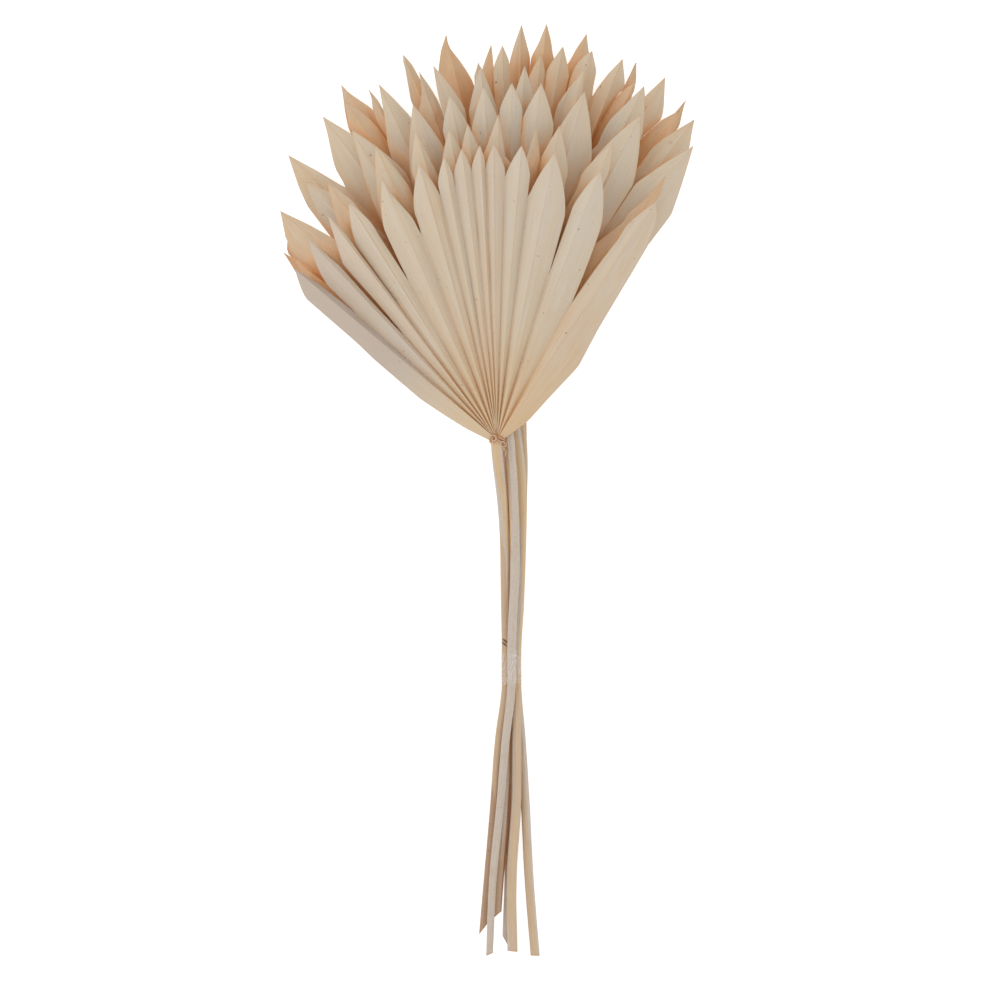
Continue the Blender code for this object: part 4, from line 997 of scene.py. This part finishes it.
def spreadRays(count):
    # directions spread evenly over a sphere
    rays = []
    for i in range(count):
        z = 1 - 2 * (i + 0.5) / count
        angle = i * math.pi * (3 - math.sqrt(5))
        rays.append(Vector((math.cos(angle) * math.sqrt(1 - z * z), math.sin(angle) * math.sqrt(1 - z * z), z)))
    return rays


def shadeShelter(pieces):
    # how much of the sky over each point is taken by other palm close by: 0 in the open, 1 deep between blades
    s = shelterSettings
    verts, faces = [], []
    for piece in pieces:
        start = len(verts)
        verts.extend(v.co.copy() for v in piece.data.vertices)
        faces.extend([start + i for i in face.vertices] for face in piece.data.polygons)
    tree = BVHTree.FromPolygons(verts, faces)
    rays = spreadRays(s["rays"])
    reach = s["reach"] * mm
    for piece in pieces:
        values = []
        for v in piece.data.vertices:
            start = v.co + v.normal * s["start"] * mm
            taken = total = 0.0
            for ray in rays:
                facing = ray.dot(v.normal)
                away = ray if facing > 0 else -ray
                weight = abs(facing)
                total += weight
                distance = tree.ray_cast(start, away, reach)[3]
                if distance is not None:
                    taken += weight * (1 - (distance / reach) ** 2)
            values.append(taken / total)
        piece.data.attributes["shelter"].data.foreach_set("value", values)
    print("shaded the sheltered places")


def makeLeaf(nodeName, placeInStack):
    leaf = leafSettings[nodeName]
    shortName = nodeName.replace("palm_leaf_", "leaf")
    fan = Fan(leaf, placeInStack)
    blades = buildFan(shortName + "Blades", leaf, fan)
    stem = buildStem(shortName + "Stem", leaf, placeInStack)
    hub = buildHub(shortName + "Hub", leaf, placeInStack)
    bladeMaterial = leafFinish(shortName + "Blade", leaf["bladeHue"], leaf["marks"])
    stemMaterial = stemFinish(shortName + "StemSkin", leaf["marks"])
    for piece, material in ((blades, bladeMaterial), (stem, stemMaterial), (hub, stemMaterial)):
        piece.data.materials.clear()
        piece.data.materials.append(material)
        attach(piece, "root")
        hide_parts(nodeName)
    print("made", nodeName)
    return blades, stem, hub


def filmFinish():
    finish = Finish("clearFilm")
    place = finish.add("ShaderNodeTexCoord", {}, {}, output="Object")
    creasesAndSheen = finish.noiseAt(place, 420.0, 3.0, 0.6)
    glints = finish.noiseAt(place, 1300.0, 2.0, 0.6)
    haze = finish.noiseAt(place, 160.0, 2.0, 0.5)
    bump = finish.add("ShaderNodeBump", {}, {"Strength": 0.8, "Distance": 0.0006, "Height": creasesAndSheen + haze})
    # painted highlights: the film is paler and more opaque at its creases, partly its own haze, and in small glints
    finish.set(Base_Color=(0.90, 0.88, 0.88), Roughness=0.14, Alpha=0.015 + creasesAndSheen.between(0.55, 0.75) * 0.15 + glints.between(0.60, 0.66) * 0.6,
               Normal=bump)
    return finish.material


def makeTie():
    s = tieSettings
    around, rings = 72, 30
    bpy.ops.object.select_all(action="DESELECT")
    bpy.ops.mesh.primitive_cylinder_add(vertices=around, radius=1.0, depth=1.0, end_fill_type="NOTHING")
    tie = bpy.context.active_object
    tie.name = "filmBand"
    bpy.ops.object.mode_set(mode="EDIT")
    bpy.ops.mesh.select_all(action="SELECT")
    bpy.ops.mesh.bisect(plane_co=(0, 0, 0), plane_no=(0, 0, 1))
    bpy.ops.object.mode_set(mode="OBJECT")
    bm = bmesh.new()
    bm.from_mesh(tie.data)
    for i in range(1, rings):
        z = -0.5 + i / rings
        if abs(z) > 1e-6:
            bmesh.ops.bisect_plane(bm, geom=bm.verts[:] + bm.edges[:] + bm.faces[:], plane_co=(0, 0, z), plane_no=(0, 0, 1))
    centre = Vector(s["centre"])
    for vert in bm.verts:
        angle = math.atan2(vert.co.y, vert.co.x)
        along = 2 * vert.co.z
        wrinkle = 0.10 * math.sin(3 * angle + 5 * along) + 0.09 * noise.noise(Vector((math.cos(angle) * 2, math.sin(angle) * 2, along * 5)))
        swell = 1 + s["flare"] * along ** 2
        reach = wrinkle + 0.12
        vert.co = (centre + Vector((
            (s["semiAxes"][0] * swell + reach) * math.cos(angle),
            s["length"] / 2 * along + 0.5 * math.sin(2 * angle) * abs(along) ** 3,
            (s["semiAxes"][1] * swell + reach) * math.sin(angle),
        ))) * mm
    bmesh.ops.recalc_face_normals(bm, faces=bm.faces[:])
    bm.to_mesh(tie.data)
    bm.free()
    wall = tie.modifiers.new("wall", "SOLIDIFY")
    wall.thickness = s["wall"] * mm
    wall.offset = 1.0
    bpy.ops.object.modifier_apply(modifier="wall")
    bpy.ops.object.shade_smooth()
    tie.data.materials.clear()
    tie.data.materials.append(filmFinish())
    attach(tie, "root")
    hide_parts("stem_tie")
    print("made the film band")


def makeStage():
    bpy.ops.mesh.primitive_plane_add(size=6.0, location=(0, 0, -0.0003))
    floor = bpy.context.active_object
    floor.name = "floor"
    finish = Finish("paleFloor")
    finish.set(Base_Color=(0.50, 0.50, 0.50), Roughness=0.9, Emission_Color=(1.0, 1.0, 1.0), Emission_Strength=0.72)
    floor.data.materials.append(finish.material)
    world = bpy.data.worlds.new("studio")
    bpy.context.scene.world = world
    world.use_nodes = True
    world.node_tree.nodes["Background"].inputs[0].default_value = (1.0, 0.995, 0.99, 1.0)
    world.node_tree.nodes["Background"].inputs[1].default_value = lightSettings["world"]
    for name, place, size, power in lightSettings["lamps"]:
        lamp = bpy.data.lights.new(name, "AREA")
        lamp.size = size
        lamp.energy = power
        holder = bpy.data.objects.new(name, lamp)
        holder.location = place
        holder.rotation_euler = (Vector((0, 0.1, 0)) - Vector(place)).to_track_quat("-Z", "Y").to_euler()
        bpy.context.scene.collection.objects.link(holder)
    bpy.context.scene.view_settings.view_transform = "Standard"
    print("made the stage and lights")


def makeCamera():
    s = cameraSettings
    camera = bpy.data.cameras.new("camera")
    camera.sensor_width = 36.0
    camera.lens = camera.sensor_width * s["distance"] / s["view"]
    camera.clip_end = 20.0
    holder = bpy.data.objects.new("camera", camera)
    holder.location = (Vector(s["aim"]) + Vector((0, 0, s["distance"]))) * mm
    bpy.context.scene.collection.objects.link(holder)
    bpy.context.scene.camera = holder


makeCamera()
palmPieces = []
for order, nodeName in enumerate(leafSettings):
    palmPieces.extend(makeLeaf(nodeName, len(leafSettings) - 1 - order))
shadeShelter(palmPieces)
for piece in palmPieces:
    if piece.name.endswith("Blades"):
        thickenFan(piece)
makeTie()
makeStage()
bpy.context.view_layer.update()
